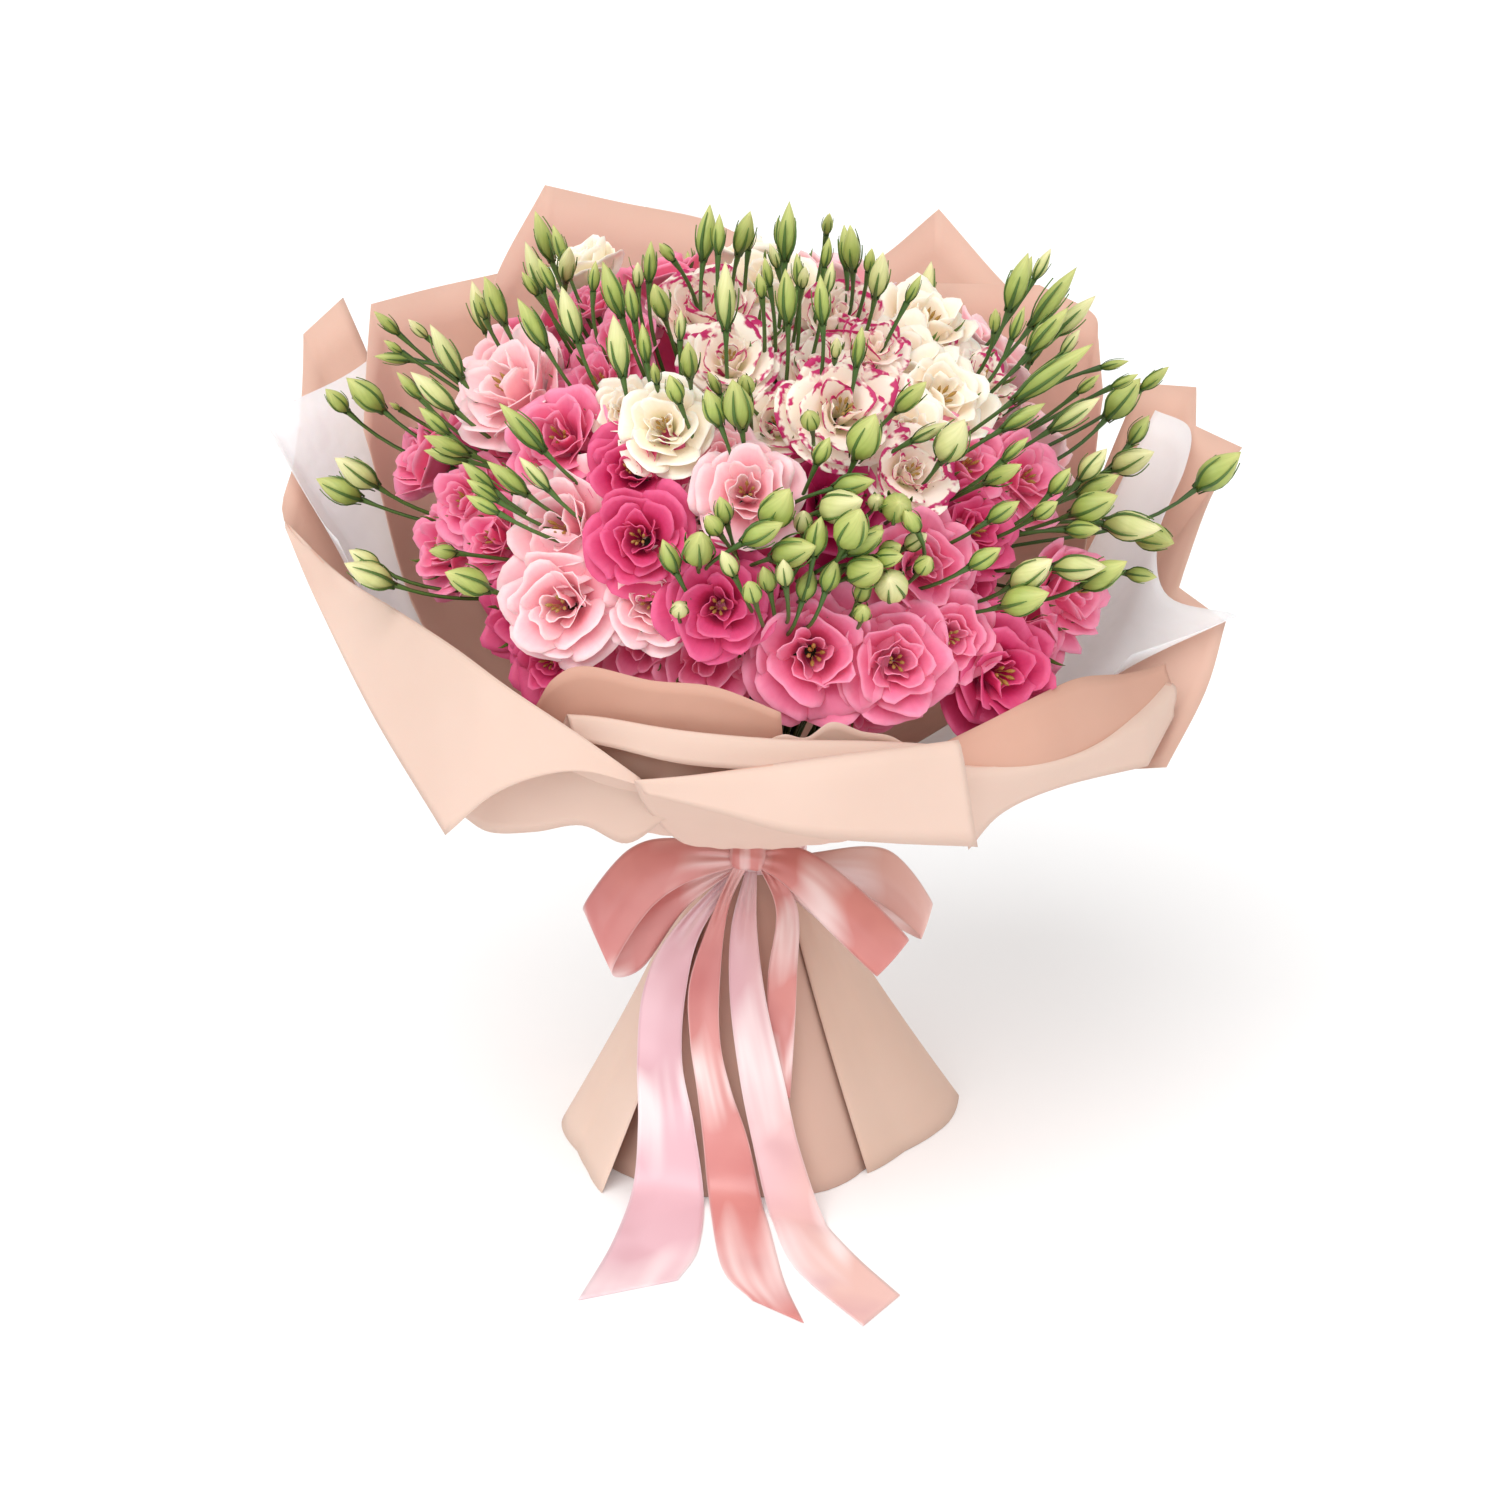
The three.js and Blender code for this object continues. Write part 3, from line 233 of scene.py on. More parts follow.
def spline(points, corners=()):
    """A smooth line through points, broken at its corners: a function of a share from 0 to 1."""
    points = [Vector(p) for p in points]
    last = len(points) - 1

    def at(share):
        place = min(max(share, 0.0), 1.0) * last
        i = min(int(place), last - 1)
        t = place - i
        b, c = points[i], points[i + 1]
        a = points[i - 1] if i and i not in corners else b * 2 - c
        d = points[i + 2] if i + 2 <= last and i + 1 not in corners else c * 2 - b
        return (
            b * 2
            + (c - a) * t
            + (a * 2 - b * 5 + c * 4 - d) * t**2
            + (b * 3 - a - c * 3 + d) * t**3
        ) * 0.5

    return at


def blend_value(a, b, share):
    return a + (b - a) * share


def between(rows, place):
    """The value at a place, from rows of (place, value)."""
    for (low, less), (high, more) in zip(rows, rows[1:]):
        if place < high:
            return blend_value(less, more, (place - low) / (high - low))
    return rows[-1][1]


def ease(value):
    value = min(max(value, 0.0), 1.0)
    return value * value * (3 - 2 * value)


# ---- Materials ----


WHITE = (1, 1, 1, 1)


def tone(red, green, blue):
    """A colour from its 0 to 255 values, as light adds them."""

    def linear(value):
        value /= 255
        return value / 12.92 if value <= 0.04045 else ((value + 0.055) / 1.055) ** 2.4

    return (linear(red), linear(green), linear(blue), 1.0)


def arithmetic(operation):
    """A method that takes a value and another value or number through a sum."""
    return lambda value, other: value.finish.math(operation, value, other)


class Value:
    """A number, colour or vector on its way through a material's nodes."""

    def __init__(self, finish, socket):
        self.finish = finish
        self.socket = socket

    __add__ = __radd__ = arithmetic("ADD")
    __sub__ = arithmetic("SUBTRACT")
    __mul__ = arithmetic("MULTIPLY")
    __truediv__ = arithmetic("DIVIDE")
    __pow__ = arithmetic("POWER")

    def __rsub__(self, other):
        return self.finish.math("SUBTRACT", other, self)

    def __abs__(self):
        return self.finish.math("ABSOLUTE", self)

    def clamped(self):
        return self.finish.math("ADD", self, 0.0, clamp=True)


class Finish:
    """A material that is written as sums and mixes of its nodes' values."""

    def __init__(self, name, **fixed):
        self.material = bpy.data.materials.new(name)
        self.material.use_nodes = True
        self.nodes = self.material.node_tree.nodes
        self.links = self.material.node_tree.links
        self.shader = self.nodes["Principled BSDF"]
        for socket, value in fixed.items():
            self.shader.inputs[socket.replace("_", " ")].default_value = value

    def node(self, kind, settings=None, inputs=None, out=0):
        made = self.nodes.new(kind)
        for name, value in (settings or {}).items():
            setattr(made, name, value)
        for name, value in (inputs or {}).items():
            if isinstance(value, Value):
                self.links.new(value.socket, made.inputs[name])
            else:
                made.inputs[name].default_value = value
        return Value(self, made.outputs[out])

    def math(self, operation, first, second=None, clamp=False):
        inputs = {0: first} if second is None else {0: first, 1: second}
        return self.node("ShaderNodeMath", {"operation": operation, "use_clamp": clamp}, inputs)

    def mix(self, first, second, share):
        return self.node(
            "ShaderNodeMix", {"data_type": "RGBA", "clamp_factor": True}, {0: share, 6: first, 7: second}, out=2
        )

    def uv(self):
        """How far across and how far along the piece a point is, and a zero."""
        return self.split(self.node("ShaderNodeUVMap", {"uv_map": "UVMap"}))

    def split(self, vector):
        made = self.nodes.new("ShaderNodeSeparateXYZ")
        self.links.new(vector.socket, made.inputs[0])
        return tuple(Value(self, output) for output in made.outputs)

    def joined(self, x, y, z=0.0):
        return self.node("ShaderNodeCombineXYZ", {}, {0: x, 1: y, 2: z})

    def place(self):
        return self.node("ShaderNodeTexCoord", {}, {}, out="Object")

    def noise(self, vector, scale, detail=2.0, roughness=0.5):
        inputs = {"Vector": vector, "Scale": scale, "Detail": detail, "Roughness": roughness}
        return self.node("ShaderNodeTexNoise", {}, inputs)

    def bump(self, height, strength, distance, under=None):
        inputs = {"Height": height, "Strength": strength, "Distance": distance}
        if under is not None:
            inputs["Normal"] = under
        return self.node("ShaderNodeBump", {}, inputs)

    def feed(self, **sockets):
        for socket, value in sockets.items():
            self.links.new(value.socket, self.shader.inputs[socket.replace("_", " ")])
        return self.material


def petal_finish(name, heart, body, other, rim, vein, rim_from, rim_ragged, rim_blend=1.0, patchy=0.0):
    """A petal: heart at its foot, body over it, drifting to other, and rim along its free edge, with fine veins. The
    heart is the throat's own colour and, in the pinks, painted shade of the bloom's depth as well.
    """
    # The petal glows faintly in its own colour: painted light for the light that shines through it, which lifts its
    # shade.
    finish = Finish(name, Roughness=0.55, Subsurface_Weight=0.12, Subsurface_Scale=0.004, Emission_Strength=0.07)
    across, along, _ = finish.uv()
    place = finish.place()
    from_middle = abs(across - 0.5) * 2
    wander = finish.noise(place, 190.0, 3.0) - 0.5
    fan = finish.noise(finish.joined(across * 24.0, along * 1.8), 1.0, 3.0, 0.65)
    drift = finish.noise(place, 34.0, 2.0)
    bloom_drift = finish.noise(place, 11.0, 1.0)
    from_edge = finish.math("MINIMUM", 1 - along, (1 - from_middle) * 0.7)
    edge = ((rim_from - from_edge + wander * rim_ragged) / (rim_from * rim_blend)).clamped()
    if patchy:
        edge = edge * ((finish.noise(place, 105.0, 2.0) - patchy) * 12).clamped()
    else:
        edge = edge**1.4 * 0.7
    # foot: where the heart's tone lies, its own colour and painted shade low in the bloom
    foot = (1 - along * 1.6 + wander * 0.3).clamped()
    colour = finish.mix(body, other, (bloom_drift * 3.2 - 1.15).clamped())
    colour = finish.mix(colour, heart, foot**1.3)
    colour = finish.mix(colour, vein, (fan * 1.9 - 0.75).clamped() * 0.3)
    colour = finish.mix(colour, rim, edge)
    shade = finish.mix((0.92, 0.89, 0.9, 1.0), (1.06, 1.06, 1.06, 1.0), drift)
    colour = finish.node(
        "ShaderNodeMix", {"data_type": "RGBA", "blend_type": "MULTIPLY"}, {0: 0.8, 6: colour, 7: shade}, out=2
    )
    normal = finish.bump(fan * 0.7 + wander * 0.4, 0.35, 0.0006)
    return finish.feed(Base_Color=colour, Emission_Color=colour, Normal=normal, Roughness=0.5 + drift * 0.16)


# Each variety: its material, the tones of its heart, body, drift, rim and veins, and how its rim shows. The deep
# hearts of the pinks carry painted shade of the bloom's depth besides their own colour.
VARIETIES = [
    (
        "cream", "cream_petal",
        ((208, 208, 132), (252, 242, 218), (252, 234, 212), (254, 249, 238), (240, 224, 182)),
        dict(rim_from=0.3, rim_ragged=0.1),
    ),
    (
        "picotee", "edged_petal",
        ((222, 216, 150), (253, 243, 224), (252, 234, 220), (190, 30, 100), (248, 226, 214)),
        dict(rim_from=0.15, rim_ragged=0.32, rim_blend=0.3, patchy=0.46),
    ),
    (
        "blush", "blush_petal",
        ((224, 98, 120), (247, 172, 184), (250, 198, 202), (254, 226, 226), (240, 146, 168)),
        dict(rim_from=0.42, rim_ragged=0.2),
    ),
    (
        "pink", "pink_petal",
        ((186, 34, 90), (228, 86, 134), (238, 124, 160), (248, 162, 188), (206, 58, 116)),
        dict(rim_from=0.38, rim_ragged=0.2),
    ),
    (
        "rose", "rose_petal",
        ((150, 14, 66), (206, 42, 102), (220, 72, 126), (234, 106, 150), (166, 22, 84)),
        dict(rim_from=0.38, rim_ragged=0.2),
    ),
    (
        "magenta", "magenta_petal",
        ((128, 10, 58), (178, 24, 86), (198, 42, 104), (214, 72, 128), (128, 10, 62)),
        dict(rim_from=0.38, rim_ragged=0.2),
    ),
]
PETALS = {
    variety: petal_finish(name, *(tone(*mix) for mix in tones), **rim) for variety, name, tones, rim in VARIETIES
}


def green_finish(name, foot, body, tip, roughness=0.5):
    """Stems, sepals and furled buds: green at the foot, body over it and tip at the end."""
    finish = Finish(name, Roughness=roughness, Subsurface_Weight=0.06, Subsurface_Scale=0.003)
    across, along, _ = finish.uv()
    place = finish.place()
    ribs = finish.noise(finish.joined(across * 22.0, along * 1.5), 1.0, 2.0)
    drift = finish.noise(place, 22.0, 2.0)
    speckle = finish.noise(place, 420.0, 2.0)
    colour = finish.mix(foot, body, (along * 2.2).clamped())
    colour = finish.mix(colour, tip, (along * 2.0 - 1.0 + (drift - 0.5) * 0.6).clamped())
    colour = finish.mix(colour, foot, (ribs * 1.8 - 0.75).clamped() * 0.4)
    colour = finish.mix(colour, foot, ((drift - 0.5) * 3.0).clamped() * 0.5)
    normal = finish.bump(ribs + speckle * 0.2, 0.3, 0.0005)
    return finish.feed(Base_Color=colour, Normal=normal, Roughness=roughness - 0.08 + drift * 0.16)


GREENS = {
    "bud": green_finish("green_bud", tone(100, 124, 42), tone(166, 180, 90), tone(208, 208, 132)),
    "pale_bud": green_finish("pale_bud", tone(144, 160, 76), tone(208, 210, 140), tone(236, 228, 178)),
    "stamen": green_finish("stamen", tone(196, 196, 120), tone(206, 168, 84), tone(150, 96, 36)),
    "stem": green_finish("stem", tone(46, 76, 30), tone(66, 98, 38), tone(84, 116, 48)),
    "sepal": green_finish("sepal", tone(50, 82, 28), tone(72, 106, 36), tone(100, 134, 54)),
}


def paper_finish(name, light, dark, roughness, bump_strength, **fixed):
    """Matt wrapping paper: soft mottling, short fibres and the memory of creases."""
    finish = Finish(name, Roughness=roughness, Subsurface_Weight=0.05, Subsurface_Scale=0.002, **fixed)
    place = finish.place()
    cloud = finish.noise(place, 9.0, 3.0)
    fibre = finish.noise(place, 900.0, 3.0, 0.7)
    crease = finish.noise(place, 20.0, 3.0, 0.55)
    colour = finish.mix(dark, light, (cloud * 1.8 - 0.4).clamped())
    colour = finish.mix(colour, dark, (fibre - 0.55).clamped() * 0.5)
    normal = finish.bump(crease, bump_strength, 0.006)
    normal = finish.bump(fibre, 0.12, 0.0004, under=normal)
    return finish.feed(Base_Color=colour, Normal=normal, Roughness=roughness - 0.05 + cloud * 0.1)


PAPERS = {
    "blush": paper_finish("blush_paper", tone(221, 193, 178), tone(214, 184, 168), 0.75, 0.2),
    # The paper's tone on faces that look into the bouquet: painted shade.
    "inside": paper_finish("blush_paper_inside", tone(222, 184, 166), tone(214, 173, 154), 0.78, 0.25),
    # The paper darker again: painted shade for sheets that lie in shade all over.
    "deep": paper_finish("blush_paper_painted_shade", tone(210, 164, 144), tone(200, 151, 131), 0.72, 0.25),
    # The skirt's paper: a lit copy with painted light for the left panel, a shaded copy with painted shade for the
    # middle, the plain tone for the right, and its inner faces' painted shade.
    "skirt_painted_light": paper_finish("skirt_paper_painted_light", tone(231, 205, 190), tone(222, 192, 175), 0.75, 0.2),
    "skirt_painted_shade": paper_finish("skirt_paper_painted_shade", tone(212, 177, 161), tone(203, 164, 147), 0.75, 0.2),
    "skirt": paper_finish("skirt_paper", tone(220, 190, 173), tone(211, 176, 156), 0.75, 0.2),
    "skirt_inside": paper_finish("skirt_paper_inside", tone(218, 192, 178), tone(208, 178, 162), 0.78, 0.2),
    # Tissue glows faintly white: painted light for the light that shines through it.
    "tissue": paper_finish(
        "tissue", tone(250, 249, 250), tone(238, 237, 239), 0.6, 0.6,
        Alpha=0.6, Emission_Strength=0.12, Emission_Color=WHITE,
    ),
}


def satin_finish(name, light, body, shade, right):
    """Satin: fine threads across the ribbon, painted highlights along it, painted shade in soft patches and a narrow
    hem. right tints it towards +X.
    """
    finish = Finish(
        name, Roughness=0.32, Sheen_Weight=0.3, Sheen_Roughness=0.35, Anisotropic=0.5, Specular_IOR_Level=0.8
    )
    across, along, _ = finish.uv()
    place = finish.place()
    x, _, _ = finish.split(place)
    # Painted highlight: bands of the light tone along the ribbon, where the lamps' gleams are painted.
    broad = finish.noise(finish.joined(across * 1.1, along * 3.6, x * 9.0), 1.0, 1.0, 0.4)
    streak = finish.noise(finish.joined(across * 3.4, along * 2.2, x * 7.0 + 5.0), 1.0, 1.0, 0.4)
    turned = finish.math("SINE", along * 13.0 + x * 26.0 + broad * 5.0)
    painted_highlight = (turned * 0.75 + 0.2).clamped() * (streak * 2.6 - 0.6).clamped() * 0.85
    thread = finish.noise(finish.joined(across * 160.0, along * 3.0), 1.0, 2.0)
    drift = finish.noise(place, 16.0, 2.0)
    hem = ((abs(across - 0.5) * 2 - 0.94) * 16.0).clamped()
    colour = finish.mix(body, right, (x * 14.0 + 0.3).clamped())
    # Painted shade in soft patches, in the shade tone.
    colour = finish.mix(colour, shade, ((drift - 0.46) * 3.6).clamped() * 0.7)
    colour = finish.mix(colour, light, painted_highlight)
    colour = finish.mix(colour, light, hem * 0.4)
    normal = finish.bump(thread * 0.4 + hem * 0.5, 0.25, 0.0004)
    return finish.feed(Base_Color=colour, Normal=normal, Roughness=0.28 + thread * 0.1 + drift * 0.08)


# Each satin: its painted highlight, its body, its painted shade, and its tint towards +X.
SATIN_TONES = {
    "rose": ((252, 232, 230), (216, 140, 136), (190, 98, 98), (220, 142, 134)),
    "pale": ((254, 242, 242), (228, 184, 194), (206, 150, 160), (234, 190, 180)),
}
SATINS = {
    colour: satin_finish(f"{colour}_satin", *(tone(*mix) for mix in tones)) for colour, tones in SATIN_TONES.items()
}


# ---- Points taken from the picture ----


def seen_at(x, y, across, shape="open", **more):
    """A bloom whose face is seen at a pixel, so wide in millimetres. sink is how far it sits below the round of
    blooms, and facing is how far it leans to the eye."""
    return {"at": (x, y), "across": across, "shape": shape, **more}


def turned_to(turn, rise, across, sink=0):
    """A bloom at the back or the sides, at a turn and a rise on the round of blooms."""
    return {"turn": turn, "rise": rise, "across": across, "sink": sink, "shape": "small"}


# Each group of blooms: its variety and its blooms.
BLOOM_GROUPS = {
    "blooms_cream_top_left": ("cream", seen_at(574, 246, 44, "cup")),
    "bloom_pink_furled": ("pink", seen_at(584, 292, 28, "cup")),
    "blooms_blush_upper_left": ("blush", seen_at(487, 356, 62, "cup"), seen_at(508, 386, 66, facing=0.1)),
    "bloom_pink_upper_left": ("pink", seen_at(520, 333, 46, "small", sink=14)),
    "blooms_pink_upper": ("pink", seen_at(588, 366, 52), seen_at(612, 322, 40, "small", sink=8)),
    "blooms_cream_left": ("cream", seen_at(619, 402, 40, sink=6), seen_at(665, 428, 52, facing=0.55)),
    "bloom_pink_left_open": ("pink", seen_at(557, 434, 60, facing=0.4)),
    "bloom_pink_left_back": ("pink", seen_at(484, 420, 44, "small", sink=10)),
    "blooms_rose_left": ("rose", seen_at(630, 466, 52, facing=0.4), seen_at(640, 538, 54, facing=0.4)),
    "bloom_pink_left_cup": ("pink", seen_at(402, 448, 50, "cup")),
    "blooms_pink_left_edge": (
        "pink", seen_at(474, 535, 46, sink=4), seen_at(453, 497, 48, sink=4), seen_at(418, 543, 56),
    ),
    "blooms_blush_front_left": ("blush", seen_at(558, 526, 64, facing=0.2), seen_at(560, 605, 64, facing=0.5)),
    "bloom_blush_front_cup": ("blush", seen_at(647, 602, 52, facing=0.5)),
    "blooms_rose_front_left": ("rose", seen_at(498, 622, 50, sink=4), seen_at(541, 665, 46, sink=4)),
    "blooms_pink_front_under": (
        "pink", seen_at(622, 655, 54, "small", sink=12), seen_at(700, 668, 58, "small", sink=12),
    ),
    "bloom_rose_front": ("rose", seen_at(719, 606, 58, facing=0.5)),
    "blooms_pink_front": ("pink", seen_at(762, 655, 40, "small", sink=12), seen_at(815, 655, 70, facing=0.6)),
    "blooms_pink_front_right": ("pink", seen_at(895, 662, 60, facing=0.6), seen_at(878, 718, 42, "small", sink=10)),
    "blooms_pink_right_ruffled": ("pink", seen_at(927, 566, 62, facing=0.5), seen_at(953, 638, 52, facing=0.4)),
    "bloom_rose_right_low": ("rose", seen_at(1000, 674, 66, facing=0.4)),
    "blooms_pink_right_edge": ("pink", seen_at(1058, 646, 52), seen_at(1084, 592, 54)),
    "blooms_rose_right": ("rose", seen_at(990, 588, 42, "small", sink=8), seen_at(988, 526, 52, sink=2)),
    "blooms_pink_right_upper": ("pink", seen_at(984, 456, 56), seen_at(1036, 474, 50, sink=2)),
    "bloom_magenta_centre": ("magenta", seen_at(838, 490, 60, "small", sink=8)),
    "blooms_blush_centre": (
        "blush", seen_at(747, 492, 54, facing=0.3), seen_at(692, 506, 40, sink=4),
        seen_at(722, 446, 36, "small", sink=8),
    ),
    "blooms_picotee_top_left": (
        "picotee", seen_at(702, 290, 56, "cup"), seen_at(757, 312, 42, sink=6), seen_at(728, 352, 48),
    ),
    "bloom_cream_top": ("cream", seen_at(776, 258, 52, "cup")),
    "blooms_picotee_top": (
        "picotee", seen_at(845, 302, 48, "cup"), seen_at(828, 348, 48, sink=4),
        seen_at(880, 336, 38, "small", sink=4),
    ),
    "blooms_picotee_centre": (
        "picotee", seen_at(780, 408, 46), seen_at(842, 410, 60, facing=0.35), seen_at(890, 378, 42, sink=6),
    ),
    "blooms_cream_right": ("cream", seen_at(940, 306, 58), seen_at(918, 340, 62)),
    "blooms_cream_right_low": ("cream", seen_at(954, 385, 62), seen_at(918, 422, 46, sink=6)),
    "bloom_picotee_right": ("picotee", seen_at(1003, 364, 46)),
    "bloom_picotee_low_right": ("picotee", seen_at(913, 470, 46, facing=0.3)),
    "bloom_rose_gap_left": ("rose", seen_at(776, 585, 44, "small", sink=14)),
    "bloom_rose_gap_right": ("magenta", seen_at(868, 588, 46, "small", sink=16)),
    "blooms_cream_back": ("cream", turned_to(180, 66, 58), turned_to(180, 49, 62)),
    "blooms_pink_back_left": (
        "pink", turned_to(-145, 64, 60), turned_to(-157, 48, 62), turned_to(-134, 47, 62), turned_to(-141, 30, 64),
        turned_to(-128, 28, 66, 2), turned_to(-113, 41, 64, 3), turned_to(-112, 22, 62, 9),
    ),
    "blooms_blush_back_right": (
        "blush", turned_to(145, 64, 60), turned_to(157, 48, 60), turned_to(134, 47, 62), turned_to(141, 30, 64),
        turned_to(128, 28, 66, 2), turned_to(113, 41, 64, 3), turned_to(112, 22, 62, 9),
    ),
    "blooms_rose_back": ("rose", turned_to(-171, 31, 64), turned_to(171, 31, 64)),
}

# Where each bud's calyx and its tip are seen.
BUDS = [
    # above the blooms on the left
    (552, 262, 536, 213), (565, 282, 571, 250), (547, 350, 517, 299), (505, 325, 486, 278), (622, 318, 603, 262),
    (623, 378, 613, 315), (665, 318, 655, 287), (690, 378, 688, 345),
    # at the left edge
    (400, 335, 375, 312), (462, 380, 430, 325), (385, 412, 347, 378), (348, 412, 326, 390), (470, 455, 425, 438),
    (378, 487, 337, 457), (363, 500, 316, 480), (528, 495, 488, 463), (545, 452, 500, 403), (395, 585, 345, 566),
    (490, 590, 447, 572),
    # along the top
    (703, 262, 711, 205), (738, 255, 750, 215), (726, 332, 726, 262), (785, 262, 790, 202), (788, 325, 786, 270),
    (853, 272, 850, 228), (875, 298, 883, 255),
    # in the middle
    (742, 430, 735, 380), (855, 460, 875, 415), (895, 412, 926, 384), (940, 462, 965, 422), (985, 483, 1020, 467),
    (765, 528, 790, 490), (772, 558, 814, 546), (820, 512, 862, 502), (843, 548, 860, 510), (850, 577, 882, 565),
    (896, 512, 895, 505), (893, 592, 888, 580), (698, 563, 698, 535),
    # at the right edge
    (1008, 312, 1027, 253), (1030, 328, 1076, 268), (1052, 337, 1096, 296), (1012, 402, 1092, 344),
    (1105, 420, 1140, 378), (1140, 390, 1168, 368), (1112, 470, 1150, 452), (1070, 515, 1116, 497),
    (1195, 490, 1241, 452), (1132, 530, 1172, 545), (1010, 587, 1052, 560), (1080, 587, 1126, 563),
    (1000, 607, 1048, 594),
]

# Smaller buds, which stand between the main ones.
MORE_BUDS = [
    (566, 266, 553, 225), (543, 293, 526, 242), (555, 292, 538, 258), (538, 296, 522, 273), (486, 320, 476, 293),
    (578, 343, 561, 287), (593, 293, 596, 261), (635, 323, 628, 280), (649, 284, 651, 241), (638, 288, 638, 264),
    (647, 364, 642, 323), (674, 261, 659, 245), (718, 256, 720, 214), (680, 342, 681, 310), (680, 404, 669, 376),
    (657, 384, 654, 364), (721, 427, 706, 389), (428, 338, 409, 321), (403, 353, 384, 341), (412, 360, 374, 356),
    (422, 400, 397, 372), (457, 412, 411, 372), (401, 410, 390, 403), (450, 435, 419, 407), (468, 461, 424, 450),
    (550, 491, 519, 457), (495, 491, 462, 462), (500, 502, 466, 480), (500, 514, 466, 495), (381, 569, 349, 550),
    (457, 553, 430, 550), (748, 252, 752, 221), (781, 250, 778, 218), (778, 269, 770, 245), (770, 288, 764, 258),
    (762, 298, 759, 275), (799, 288, 797, 253), (802, 288, 805, 269), (826, 235, 829, 215), (824, 269, 829, 238),
    (823, 326, 820, 275), (826, 296, 833, 261), (847, 271, 844, 225), (868, 273, 871, 250), (906, 304, 921, 275),
    (835, 358, 837, 339), (856, 369, 862, 326), (748, 394, 745, 376), (720, 395, 708, 372), (910, 442, 948, 423),
    (812, 428, 808, 413), (816, 465, 828, 437), (1019, 292, 1032, 256), (1033, 281, 1051, 249),
    (1028, 354, 1068, 308), (1011, 341, 1024, 306), (994, 333, 995, 310), (1060, 356, 1080, 329),
    (1099, 368, 1129, 361), (1076, 394, 1099, 375), (1110, 388, 1138, 375), (1049, 431, 1100, 398),
    (1001, 430, 1045, 403), (1001, 462, 1029, 437), (1129, 445, 1149, 415), (1079, 481, 1106, 448),
    (1076, 495, 1119, 475), (1049, 495, 1071, 468), (1064, 530, 1101, 529), (1102, 523, 1161, 530),
    (1033, 518, 1057, 502), (987, 522, 1019, 500), (968, 568, 1001, 548), (1052, 568, 1106, 566),
    (1125, 573, 1157, 577), (813, 558, 819, 516), (832, 489, 875, 479), (875, 505, 876, 500), (863, 549, 882, 525),
    (879, 555, 901, 546), (825, 593, 836, 559), (786, 587, 782, 559), (727, 524, 719, 497), (720, 534, 706, 516),
    (677, 574, 661, 540), (679, 614, 680, 604), (861, 619, 862, 606), (919, 572, 929, 558), (741, 544, 783, 521),
    (803, 532, 803, 512), (808, 548, 823, 518), (846, 554, 884, 530), (874, 560, 903, 556), (905, 548, 927, 535),
    (770, 592, 764, 566), (802, 602, 812, 568), (858, 602, 868, 578), (735, 577, 722, 550), (755, 602, 748, 582),
    (918, 532, 905, 510),
]

